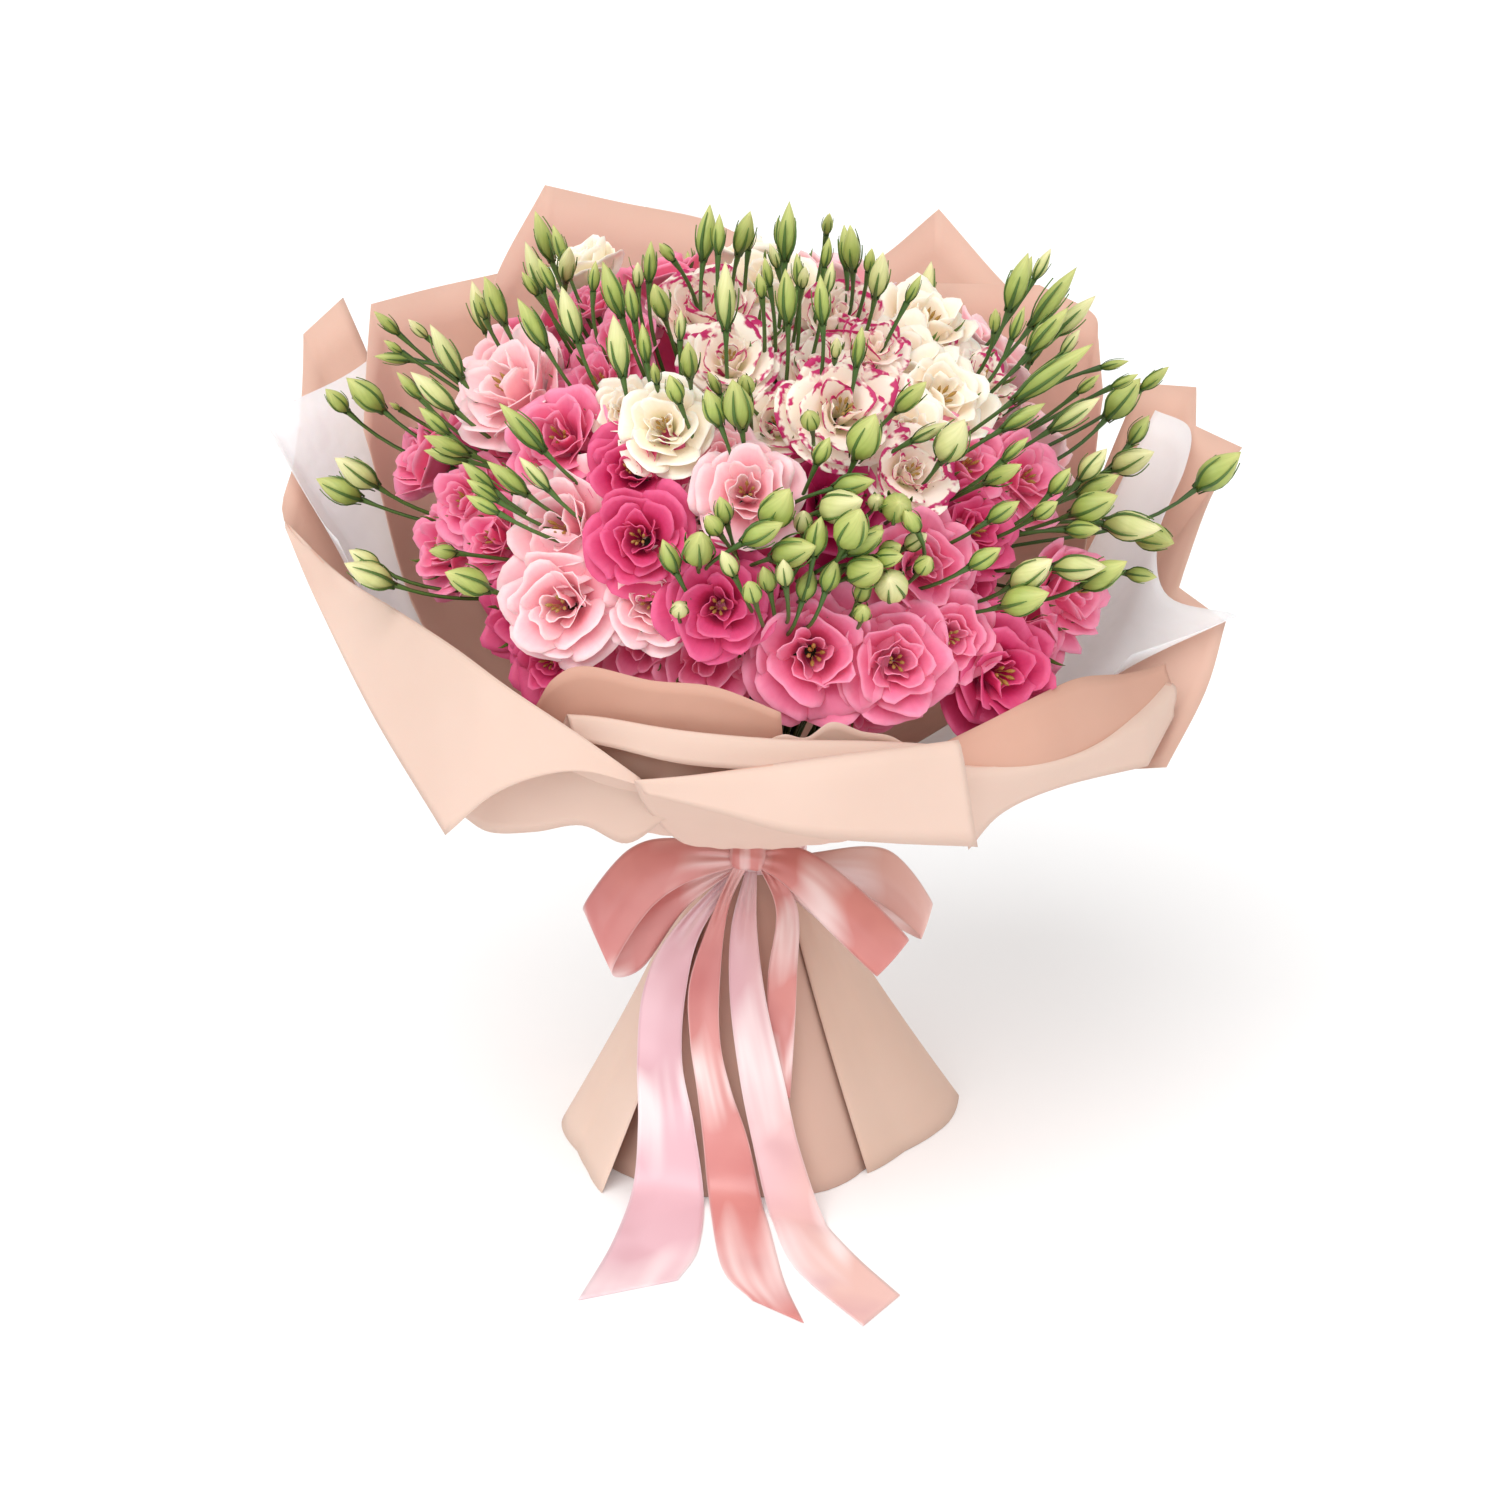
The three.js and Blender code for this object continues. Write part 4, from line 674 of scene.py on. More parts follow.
# Each sheet: its layer, the turns that it spans in the neck, the corners of its edge by their number along it, the
# width, length and area in metres that it is cut to before it is gathered at the tie, and its edge, as pixels with
# how much nearer to the eye than the axis each point is. A sheet that folds over has a flap beyond its edge, and the
# outer left paper has a fold that comes down from its first points.
SHEETS = {
    "paper_back_left": {
        "layer": 0, "neck": (-98, -192), "corners": (2,), "cut": (0.40, 0.42, 0.066),
        "edge": [
            (490, 330, -30), (499, 272, -46), (545, 185, -60), (620, 202, -72), (700, 218, -80), (748, 238, -84),
            (812, 262, -99),
        ],
    },
    "paper_back_right_inner": {
        "layer": 0, "neck": (86, 158), "corners": (1, 3), "cut": (0.36, 0.38, 0.053),
        "edge": [
            (1104, 395, 6), (1100, 341, -9), (1093, 313, -16), (1039, 285, -25), (960, 284, -50), (902, 283, -66),
        ],
    },
    "paper_back_right": {
        "layer": 1, "neck": (106, 178), "corners": (2,), "cut": (0.34, 0.40, 0.052),
        "edge": [(1040, 310, -50), (1004, 283, -62), (939, 209, -76), (873, 262, -92), (810, 275, -98)],
    },
    "paper_left_inner": {
        "layer": 1, "neck": (-84, -146), "corners": (2,), "cut": (0.32, 0.38, 0.045),
        "edge": [(362, 430, -4), (366, 373, -14), (371, 304, -28), (432, 288, -52), (500, 273, -68)],
    },
    "tissue_back": {
        "layer": 1.6, "neck": (-154, -184), "corners": (1,), "cut": (0.20, 0.34, 0.021),
        "edge": [(625, 225, -96), (670, 184, -92), (712, 226, -98)],
    },
    "tissue_left": {
        "layer": 2, "neck": (-70, -128), "corners": (2,), "cut": (0.36, 0.34, 0.045),
        "edge": [(338, 540, 50), (318, 512, 38), (260, 415, 12), (340, 378, -24), (392, 340, -50)],
    },
    "tissue_right": {
        "layer": 2, "neck": (66, 112), "corners": (1,), "cut": (0.34, 0.32, 0.035),
        "edge": [
            (1130, 652, 84), (1236, 612, 60), (1168, 596, 44), (1160, 540, 34), (1188, 470, 8), (1190, 428, -10),
            (1155, 410, -22),
        ],
    },
    "front_curl": {
        "layer": 2, "neck": (-38, 8), "cut": (0.32, 0.28, 0.031),
        "edge": [
            (536, 704, 215), (554, 678, 228), (585, 667, 236), (650, 682, 250), (715, 688, 255), (781, 712, 252),
        ],
    },
    "paper_front_right": {
        "layer": 3, "neck": (23.5, 84), "corners": (3,), "cut": (0.34, 0.32, 0.039),
        "edge": [(952, 768, 218), (1018, 765, 196), (1084, 750, 161), (1135, 717, 122), (1168, 682, 80)],
        "flap": [(970, 850, 198), (1003, 812, 186), (1060, 786, 163), (1147, 766, 114), (1174, 716, 80)],
    },
    "front_roll": {
        "layer": 3, "neck": (-38, 22), "cut": (0.38, 0.30, 0.042),
        "edge": [
            (566, 716, 222), (606, 718, 232), (683, 729, 248), (780, 738, 252), (860, 742, 244), (925, 746, 228),
        ],
        "flap": [
            (574, 740, 228), (614, 748, 240), (686, 764, 255), (780, 770, 259), (860, 768, 251), (922, 766, 236),
        ],
    },
    "outer_paper_right": {
        "layer": 4, "neck": (58, 118), "corners": (2, 3, 5, 6, 7), "cut": (0.40, 0.36, 0.051),
        "edge": [
            (1166, 766, 94), (1206, 690, 62), (1226, 622, 48), (1180, 588, 40), (1212, 500, 20), (1243, 448, -4),
            (1196, 426, -14), (1196, 387, -34), (1140, 383, -50),
        ],
    },
    "outer_paper_left": {
        "layer": 4, "neck": (-14, -118), "corners": (9,), "cut": (0.56, 0.56, 0.113),
        "edge": [
            (640, 778, 250), (583, 737, 248), (511, 689, 228), (454, 647, 198), (397, 610, 142), (340, 574, 70),
            (284, 520, 40), (293, 462, 0), (300, 400, -30), (302, 335, -56), (342, 298, -74),
        ],
        "fold": [
            (645, 786, 252), (572, 771, 250), (500, 791, 236), (445, 835, 212), (372, 715, 148), (318, 605, 80),
            (285, 528, 42),
        ],
    },
    "front_under_left": {
        "layer": 5, "neck": (-64, -16), "corners": (1,), "cut": (0.30, 0.24, 0.0292),
        "edge": [
            (432, 776, 166), (470, 772, 188), (512, 764, 204), (556, 763, 212), (600, 770, 218), (640, 784, 219),
            (672, 800, 212),
        ],
        "flap": [
            (425, 788, 146), (462, 815, 170), (490, 832, 180), (535, 832, 190), (582, 826, 198), (627, 844, 196),
            (669, 816, 206),
        ],
    },
    "front_flap": {
        "layer": 6, "neck": (-16, 36), "cut": (0.38, 0.32, 0.045),
        "edge": [(634, 779, 264), (720, 771, 272), (800, 762, 274), (880, 751, 268), (959, 740, 250)],
        "flap": [(644, 794, 267), (714, 812, 271), (795, 834, 268), (890, 843, 256), (978, 847, 236)],
    },
    "front_right_inner": {
        "layer": 2.5, "neck": (22, 82), "cut": (0.34, 0.30, 0.036),
        "edge": [
            (938, 780, 208), (990, 778, 199), (1040, 774, 182), (1090, 760, 151), (1135, 733, 114), (1162, 702, 78),
        ],
        "flap": [
            (925, 752, 207), (985, 722, 203), (1047, 691, 184), (1085, 677, 162), (1128, 673, 114), (1165, 664, 72),
        ],
    },
    "front_ruffle": {
        "layer": 2.5, "neck": (9, 20), "cut": (0.16, 0.28, 0.014),
        "edge": [
            (752, 748, 246), (782, 733, 250), (806, 736, 247), (832, 722, 248), (862, 732, 243), (890, 736, 238),
            (912, 748, 230),
        ],
    },
}

# Each strip of ribbon between its one edge and its other.
RIBBONS = {
    "rose_loop_left": {
        "one": [
            (742, 852, 16), (676, 838, 30), (628, 850, 40), (585, 903, 42), (598, 908, 22), (668, 880, 10),
            (738, 862, 13),
        ],
        "other": [
            (738, 866, 16), (684, 884, 34), (645, 915, 44), (612, 972, 42), (642, 968, 22), (686, 908, 13),
            (738, 868, 13),
        ],
    },
    "rose_loop_right": {
        "one": [
            (754, 852, 16), (800, 848, 30), (852, 882, 40), (908, 938, 42), (882, 926, 22), (812, 880, 10),
            (760, 860, 12),
        ],
        "other": [
            (756, 866, 16), (786, 886, 34), (826, 928, 44), (875, 975, 42), (862, 958, 22), (802, 906, 10),
            (758, 866, 12),
        ],
    },
    "rose_tail": {
        "one": [
            (736, 862, 18), (716, 905), (690, 980), (690, 1040), (697, 1090), (703, 1140), (709, 1200), (722, 1268),
            (752, 1300),
        ],
        "other": [
            (748, 864, 18), (728, 910), (720, 980), (720, 1040), (731, 1090), (748, 1140), (764, 1210), (784, 1280),
            (804, 1323),
        ],
    },
    "rose_tail_short": {
        "lower": 4,
        "one": [(756, 860, 17), (776, 910), (768, 975), (768, 1040), (774, 1096)],
        "other": [(766, 858, 17), (797, 906), (797, 975), (794, 1040), (790, 1098)],
    },
    "pale_loop": {
        "one": [
            (768, 866, 5.4), (818, 852, 2), (888, 850, 6), (932, 902, 8), (910, 896, -10), (842, 872, -12),
            (782, 863, 2.2),
        ],
        "other": [
            (772, 873, 4.8), (832, 880, 2), (884, 906, 6), (921, 938, 8), (898, 928, -10), (838, 896, -12),
            (782, 869, 2),
        ],
    },
    "pale_tail_left": {
        "one": [
            (733, 867, 6.2), (668, 936), (643, 991), (637, 1060), (638, 1125), (632, 1190), (609, 1249), (578, 1300),
        ],
        "other": [
            (744, 869, 7), (702, 930), (686, 991), (682, 1060), (694, 1125), (704, 1200), (698, 1250), (678, 1280),
        ],
    },
    "pale_tail_right": {
        "one": [
            (746, 869, 7.2), (731, 930), (730, 1000), (740, 1080), (753, 1145), (770, 1216), (795, 1268), (863, 1326),
        ],
        "other": [
            (757, 869, 7), (757, 930), (766, 1000), (784, 1080), (800, 1150), (828, 1227), (860, 1260), (900, 1295),
        ],
    },
}


# ---- Petals and blooms ----

# Rings of petals from the outside in, in bloom radii: how many, the bulge and the rim as (radius, height), how far a
# petal reaches round on each side in degrees, how far its rim rolls outwards, how much it ruffles, and how flat the
# ring lies open.
RING_FIELDS = ("count", "bulge", "rim", "half", "roll", "ruffle", "flat")
RINGS = {
    "open": [
        (5, (0.8, -0.88), (1.05, -0.36), 45, 0.17, 0.1, 0.95),
        (5, (0.68, -0.68), (0.86, -0.1), 45, 0.19, 0.1, 0.75),
        (4, (0.54, -0.54), (0.6, 0.06), 54, 0.16, 0.09, 0.45),
        (4, (0.39, -0.46), (0.39, 0.1), 54, 0.11, 0.07, 0.25),
        (3, (0.25, -0.42), (0.23, 0.03), 64, 0.05, 0.05, 0.1),
    ],
    "cup": [
        (5, (0.92, -0.74), (0.94, -0.04), 46, 0.16, 0.09, 0.5),
        (4, (0.76, -0.58), (0.72, 0.1), 54, 0.12, 0.08, 0.35),
        (4, (0.56, -0.48), (0.49, 0.14), 54, 0.09, 0.07, 0.2),
        (3, (0.34, -0.4), (0.28, 0.12), 70, 0.05, 0.05, 0.1),
        (2, (0.18, -0.32), (0.13, 0.05), 100, 0.0, 0.03, 0.0),
    ],
    "small": [
        (5, (0.8, -0.78), (1.0, -0.2), 46, 0.17, 0.1, 0.8),
        (4, (0.62, -0.58), (0.7, 0.02), 54, 0.14, 0.09, 0.5),
        (4, (0.42, -0.46), (0.42, 0.07), 54, 0.1, 0.07, 0.25),
        (3, (0.22, -0.38), (0.2, 0.03), 74, 0.03, 0.04, 0.1),
    ],
}
CALYX = (0.10, -1.12)  # radius and height of the cup that the petals rise from, in bloom radii
PETAL_CELLS = (13, 7)
PETAL_THICKNESS = 0.011  # in bloom radii
PETAL_SHOULDER = 0.48  # how far down its sides a petal's rounded end begins
MODEL_SIZE = 1000.0  # millimetres, so that a model bloom is one metre in radius, and a model bud one metre long


def petal(ring, turn, dice):
    """One petal of a ring, at a turn in degrees: it rises from the calyx, bulges and rolls out at its ruffled rim."""
    bulge, rim = ring["bulge"], ring["rim"]
    reach = ring["half"] * dice.uniform(0.88, 1.18)
    height = dice.uniform(-0.10, 0.06)
    waves = dice.uniform(1.3, 2.4)
    phase = dice.uniform(0, math.tau)
    lean = dice.uniform(-0.09, 0.07)
    skew = dice.uniform(-0.2, 0.2)
    spiral = 0.075 + dice.uniform(-0.03, 0.05)
    roll = ring["roll"] * dice.uniform(0.5, 1.4)
    ruffle = ring["ruffle"] * dice.uniform(0.9, 1.6)
    crinkle = dice.uniform(0, math.tau)

    def surface(u, v):
        place = 2 * u - 1
        side = math.sin(place * math.pi / 2)
        rounded = 1 - math.sqrt(max(1 - side * side, 0))
        top = v * (1 - PETAL_SHOULDER * rounded + 0.025 * math.cos(place * 6 + phase) + skew * side * 0.25)
        widen = 0.26 + 0.74 * math.sin(min(top * 1.6, 1.0) * math.pi / 2)
        angle = math.radians(turn + reach * side * widen)
        keep = 1 - top
        radius = CALYX[0] * keep**2 + 2 * bulge[0] * keep * top + rim[0] * top**2
        rise = CALYX[1] * keep**2 + 2 * bulge[1] * keep * top + (rim[1] + height) * top**2
        edge = max(v, abs(place) ** 1.5 * ease(v * 2))
        flare = ease((edge - 0.5) / 0.5)
        radius += roll * flare**1.6 + spiral * side * top + lean * top
        rise -= roll * 0.85 * flare**3
        wave = ruffle * flare * (math.sin(place * math.pi * waves + phase) + 0.22 * math.sin(place * 13 + crinkle))
        radius += wave * (1 - ring["flat"] * 0.7)
        rise += wave * (0.3 + ring["flat"] * 0.7)
        return Vector((math.cos(angle) * radius, math.sin(angle) * radius, rise)) * MODEL_SIZE

    return grid_skin("petal", surface, *PETAL_CELLS, thickness=PETAL_THICKNESS * MODEL_SIZE)


def bloom_model(shape, seed):
    dice = random.Random(seed)
    petals = []
    for row in RINGS[shape]:
        ring = dict(zip(RING_FIELDS, row))
        start = dice.uniform(0, 360)
        for i in range(ring["count"]):
            turn = start + 360 / ring["count"] * i + dice.uniform(-9, 9)
            petals.append(petal(ring, turn, dice))
    return join(petals, f"{shape}_bloom_model")


STAMENS = 6
STAMEN_ROWS = [0.012, 0.010, 0.012, 0.038, 0.034]
STAMEN_SEGMENTS = 5


def stamen_model(seed):
    """The stamens in a bloom's throat: thin threads that end in grains."""
    dice = random.Random(seed)
    stamens = []
    for i in range(STAMENS):
        turn = math.tau * (i + dice.uniform(-0.3, 0.3)) / STAMENS
        out, top = dice.uniform(0.09, 0.17), dice.uniform(-0.22, -0.08)

        def place(angle, share, radius, turn=turn, out=out, top=top):
            spine = Vector((math.cos(turn), math.sin(turn), 0)) * (0.03 + out * share)
            spine.z = blend_value(-0.6, top, share)
            return (spine + Vector((math.cos(angle), math.sin(angle), 0)) * radius) * MODEL_SIZE

        stamens.append(turned_solid("stamen", STAMEN_ROWS, STAMEN_SEGMENTS, place))
    return join(stamens, "stamen_model")


BUD_ROWS = [0.40, 0.70, 0.90, 0.99, 1.0, 0.95, 0.84, 0.68, 0.48, 0.25]
BUD_SEGMENTS = 10
BUD_RIDGE = 0.10  # how far the folds between a furled bud's petals stand out, in its radius


def bud_radius(share):
    """A furled bud's radius, in its widest radius, so far along it."""
    rows = [0.0, *BUD_ROWS, 0.0]
    place = min(max(share, 0.0), 1.0) * (len(rows) - 1)
    i = min(int(place), len(rows) - 2)
    return blend_value(rows[i], rows[i + 1], place - i)


def bud_model(seed, belly, twist):
    """A furled bud, a metre long and pointing up: five petals wound round one another to a point."""
    dice = random.Random(seed)
    lean = dice.uniform(-0.05, 0.05)

    def place(angle, share, radius):
        wound = angle + twist * share
        across = radius * belly * (1 + BUD_RIDGE * math.cos(angle * 5)) * MODEL_SIZE
        bent = lean * MODEL_SIZE * share**2
        return Vector((math.cos(wound) * across + bent, math.sin(wound) * across, share * MODEL_SIZE))

    return turned_solid("bud_model", BUD_ROWS, BUD_SEGMENTS, place)


SEPALS = 5
SEPAL_CELLS = {"bud": (2, 7), "bloom": (2, 6)}
SEPAL_THICKNESS = {"bud": 13, "bloom": 15}  # on a model a metre in size


def bud_sepal(long, width, belly, tip_out, turn):
    """A narrow green leaf from a bud's calyx: it lies along the bud and its point stands off."""

    def surface(u, v):
        side = (u - 0.5) * width * (1 - v) ** 0.7 * (0.55 + 0.45 * min(v * 6, 1))
        height = long * v
        out = belly * max(bud_radius(height), 0.34 * (1 - v)) + 0.014 + tip_out * v**3
        keel = -abs(u - 0.5) * width * 0.25
        return Matrix.Rotation(turn, 3, "Z") @ (Vector((out + keel, side, height)) * MODEL_SIZE)

    return grid_skin("sepal", surface, *SEPAL_CELLS["bud"], thickness=SEPAL_THICKNESS["bud"])


def bloom_sepal(long, width, spread, turn):
    """A sepal under an open bloom: it follows the outer petals' swell."""

    def surface(u, v):
        side = (u - 0.5) * width * math.sin(math.pi * min(0.2 + v * 0.8, 1.0)) ** 0.8
        out = 0.06 + spread * math.sin(v * math.pi * 0.55)
        return Matrix.Rotation(turn, 3, "Z") @ (Vector((out, side, long * v)) * MODEL_SIZE)

    return grid_skin("sepal", surface, *SEPAL_CELLS["bloom"], thickness=SEPAL_THICKNESS["bloom"])


def sepal_ring(make, seed):
    """A ring of sepals for a calyx at the origin; make(dice, turn) gives one of them."""
    dice = random.Random(seed)
    made = [make(dice, math.tau * (i + dice.uniform(-0.12, 0.12)) / SEPALS) for i in range(SEPALS)]
    return join(made, "sepal_model")


BLOOM_DEPTH = 1.15
# How far a bloom that touches others can stand out or in, so that their petals overlap; True for those that are
# turned to the eye.
BLOOM_LIFTS = {True: (6, 13, 1), False: (-3, -9, 3)}
ALONE = 20  # the room of a bloom that touches no other
TOUCHING = 1.02  # how near two blooms touch, in the sum of their radii


def layered(place, others, lifts):
    """Lifts a bloom along its axis, so that it stands clear above or below the blooms that it touches."""

    def touches(other):
        return (other["face"] - place["face"]).length < (other["radius"] + place["radius"]) * TOUCHING

    touched = [other["lift"] for other in others if touches(other)]
    return max(lifts, key=lambda lift: min([abs(lift - other) for other in touched], default=ALONE))


FACING = 0.22  # how far a bloom in view leans to the eye, unless its row says more


def bloom_place(spec):
    """Where a bloom sits: its face, the way that it faces, its radius and its calyx."""
    surface = first_seen(spec["at"], outside_dome(0)) if "at" in spec else dome_point(spec["turn"], spec["rise"])
    out = dome_normal(surface)
    axis = out.lerp(-LOOK, spec.get("facing", FACING)).normalized() if "at" in spec else out
    face = surface - out * spec.get("sink", 0)
    radius = spec["across"] / 2
    return {"face": face, "axis": axis, "radius": radius, "calyx": face - axis * (BLOOM_DEPTH * radius)}


MODEL_SEEDS = {"open": (3, 14, 25, 36, 47), "cup": (5, 16, 27), "small": (7, 18, 29)}

dice = random.Random(20)
BLOOM_MODELS = {shape: [bloom_model(shape, seed) for seed in seeds] for shape, seeds in MODEL_SEEDS.items()}

STAMEN_MODELS = [stamen_model(seed) for seed in (71, 72)]

bloom_places = []
throats, throat_groups = [], []
for group, (variety, *blooms) in BLOOM_GROUPS.items():
    copies = []
    for bloom in blooms:
        place = bloom_place(bloom)
        place["lift"] = layered(place, bloom_places, BLOOM_LIFTS["facing" in bloom])
        bloom_places.append(place)
        model = dice.choice(BLOOM_MODELS[bloom["shape"]])
        size = place["radius"] * MM
        raised = place["face"] + place["axis"] * place["lift"]
        matrix = facing_matrix(raised, place["axis"], dice.uniform(0, math.tau), size)
        copies.append(placed_copy(model, matrix))
        if bloom["shape"] == "open":
            throats.append(placed_copy(dice.choice(STAMEN_MODELS), matrix))
            throat_groups.append(group)
    finish_piece(join(copies, f"{group}_petals"), PETALS[variety], [group])

for models in BLOOM_MODELS.values():
    dismiss(models)
dismiss(STAMEN_MODELS)
finish_piece(join(throats, "stamens"), GREENS["stamen"], sorted(set(throat_groups)))

# ---- Stems and stalks ----

STEM_PITCH = 4.9
STEM_RINGS = [
    {"count": 1, "foot": 0, "rise": 90, "twist": 0},
    {"count": 6, "foot": 24, "rise": 58, "twist": 50},
    {"count": 12, "foot": 46, "rise": 14, "twist": 60},
]
FORK_DEPTH = 0.5
STALK_PITCH = 0.045
STEM_THICKNESS = 2.7
STEM_CUT = 0.8  # the leaning stems stand on the edges of their cut ends
STALK_THICKNESS = 1.15
STALK_INTO_BUD = 1.0
CALYX_REACH = 0.1  # how far into a bloom its stalk goes, and how wide it ends, in bloom radii
CALYX_WIDTH = 0.13
STALK_SIDES = 2


def round_axis(turn, radius, z):
    return Vector((math.sin(math.radians(turn)) * radius, -math.cos(math.radians(turn)) * radius, z))


STEMS = []
for ring, spec in enumerate(STEM_RINGS):
    for i in range(spec["count"]):
        turn = 360 / spec["count"] * (i + ring / 2)
        STEMS.append(
            {
                "cut": round_axis(turn - spec["twist"], spec["foot"], STEM_CUT),
                "tie": round_axis(turn, ring * STEM_PITCH, TIE_HEIGHT),
                "fork": dome_point(turn, spec["rise"], FORK_DEPTH),
                "stalks": 0,
            }
        )


def next_stalk(point):
    """Where the next stalk leaves the stem whose fork is nearest, and the way that the stem goes there."""
    stem = min(STEMS, key=lambda s: (s["fork"] - point).length)
    root = stem["fork"].lerp(stem["tie"], STALK_PITCH * (0.4 + stem["stalks"]))
    stem["stalks"] += 1
    return root, (stem["fork"] - stem["tie"]).normalized()


def bundled(name, stalks):
    """One mesh of round stalks, each given as its points and its radii."""
    settings = {
        "dimensions": "3D", "bevel_depth": MM, "bevel_resolution": STALK_SIDES, "use_fill_caps": True,
        "resolution_u": 1,
    }
    data = bpy.data.curves.new(name, "CURVE")
    for setting, value in settings.items():
        setattr(data, setting, value)
    for points, radii in stalks:
        line = data.splines.new("POLY")
        line.points.add(len(points) - 1)
        for point, place, radius in zip(line.points, points, radii):
            point.co = (*(place * MM), 1)
            point.radius = radius
    piece = bpy.data.objects.new(name, data)
    bpy.context.scene.collection.objects.link(piece)
    select_only(piece)
    bpy.ops.object.convert(target="MESH")
    piece = bpy.context.object
    smooth(piece)
    return piece


STALK_PULL = 0.38  # how strongly a stalk keeps to its directions at both ends


def arched(start, start_way, end, end_way, steps):
    """Points of a stalk that leaves in one direction and arrives in another."""
    pull = (end - start).length * STALK_PULL
    a, b = start + start_way * pull, end - end_way * pull
    points = []
    for i in range(steps + 1):
        t = i / steps
        k = 1 - t
        points.append(start * k**3 + a * (3 * k * k * t) + b * (3 * k * t * t) + end * t**3)
    return points


STALK_REACH = 36  # how far a stalk follows its bud's own line before it dives between the blooms
STALK_DIVE = 0.62  # how deep it dives, in dome radii


def diving(root, calyx, axis, steps):
    """Points of a bud's stalk: a little way along the bud's line, then down between the blooms to its stem."""
    bend = calyx - axis * STALK_REACH
    depth = math.sqrt(outside_dome(0)(bend) + 1)
    dive = DOME_MIDDLE + (bend - DOME_MIDDLE) * (min(STALK_DIVE, depth) / depth)
    return [root, *arched(dive, (calyx - dive).normalized(), calyx, axis, steps - 1)]


STEM_STEPS = 24
STALK_STEPS = 9
BUD_STALK_STEPS = 12

stalks = []
shares = [i / STEM_STEPS for i in range(STEM_STEPS + 1)]
for stem in STEMS:
    line = spline([stem["cut"], stem["cut"].lerp(stem["tie"], 0.55), stem["tie"], stem["fork"]])
    radii = [blend_value(STEM_THICKNESS, STALK_THICKNESS * 1.3, share**2) for share in shares]
    stalks.append(([line(share) for share in shares], radii))

for place in bloom_places:
    root, way = next_stalk(place["calyx"])
    end = place["calyx"] + place["axis"] * CALYX_REACH * place["radius"]
    radii = [STALK_THICKNESS] * (STALK_STEPS - 1) + [STALK_THICKNESS * 1.5, place["radius"] * CALYX_WIDTH]
    stalks.append((arched(root, way, end, place["axis"], STALK_STEPS), radii))

# ---- Buds ----

BUD_STAND_OFFS = [18, 26, 10, 34]
BUD_ROOM = 11
BUD_LENGTH = 33
SMALL_BUD_LENGTH = 19
FACES_EYE = -0.2
AWAY_LEAN = 0.4  # how much of its hidden length a bud that faces away leans back


def bud_place(calyx_pixel, tip_pixel, stand_off, least):
    """A bud's calyx and tip: no shorter than least, so that a bud that looks shorter leans to the eye or away."""
    calyx = first_seen(calyx_pixel, outside_dome(stand_off))
    near = -(calyx - AIM).dot(LOOK)
    flat = seen(tip_pixel, near)
    shown = (flat - calyx).length
    length = max(least, shown * 1.02)
    hidden = math.sqrt(max(length**2 - shown**2, 0))
    return calyx, flat + LOOK * (-hidden if dome_normal(calyx).dot(LOOK) < FACES_EYE else -hidden * AWAY_LEAN)


BUD_SAMPLES = (0, 0.25, 0.5, 0.75, 1)


def buds_apart(one, other):
    """How near two buds come, felt at some shares of their lengths."""
    on_one, on_other = ([bud[0].lerp(bud[1], share) for share in BUD_SAMPLES] for bud in (one, other))
    return min((here - there).length for here in on_one for there in on_other)


def placed_buds(pixels, least, placed):
    """The buds that are placed already and these, each at the stand-off that keeps it clearest of the others."""
    placed = list(placed)
    for row in pixels:
        places = [bud_place(row[:2], row[2:], stand_off, least) for stand_off in BUD_STAND_OFFS]
        placed.append(max(places, key=lambda at: min([BUD_ROOM, *(buds_apart(at, other) for other in placed)])))
    return placed


BACK_BUDS = {"count": 6, "turn_step": 22, "rise": (28, 34), "upright": 0.6}


def back_bud(i):
    turn = 180 + (i - (BACK_BUDS["count"] - 1) / 2) * BACK_BUDS["turn_step"]
    surface = dome_point(turn, BACK_BUDS["rise"][i % 2])
    out = dome_normal(surface)
    calyx = surface + out * BUD_STAND_OFFS[0]
    return calyx, calyx + out.lerp(Vector((0, 0, 1)), BACK_BUDS["upright"]).normalized() * BUD_LENGTH


main_buds = placed_buds(BUDS, BUD_LENGTH, [])
all_buds = placed_buds(MORE_BUDS, SMALL_BUD_LENGTH, main_buds) + [back_bud(i) for i in range(BACK_BUDS["count"])]

# The buds on top of the bouquet are slim; those lower down are full.
BUD_MODELS = {
    "slim": [bud_model(41, 0.15, 2.0), bud_model(42, 0.17, 1.6)],
    "full": [bud_model(43, 0.23, 1.5), bud_model(44, 0.26, 1.2), bud_model(45, 0.245, 1.8)],
}
SLIM_ABOVE = 450
BUD_BELLY = {"widest": 7.4, "share": 0.2}
CLUSTER = {"before": -150, "within": 110, "plumper": 1.12}  # the plump buds that crowd together low in front
PALE_EVERY = 4


def along_bud(belly):
    def make(dice, turn):
        return bud_sepal(dice.uniform(0.6, 0.88), 0.085, belly, dice.uniform(0.0, 0.06), turn)

    return make


def under_bloom(dice, turn):
    return bloom_sepal(dice.uniform(0.8, 1.05), 0.11, dice.uniform(0.55, 0.68), turn)


BUD_SEPALS = {
    "slim": [sepal_ring(along_bud(0.165), seed) for seed in (51, 52)],
    "full": [sepal_ring(along_bud(0.248), seed) for seed in (53, 54)],
}
BLOOM_SEPALS = [sepal_ring(under_bloom, seed) for seed in (61, 62)]

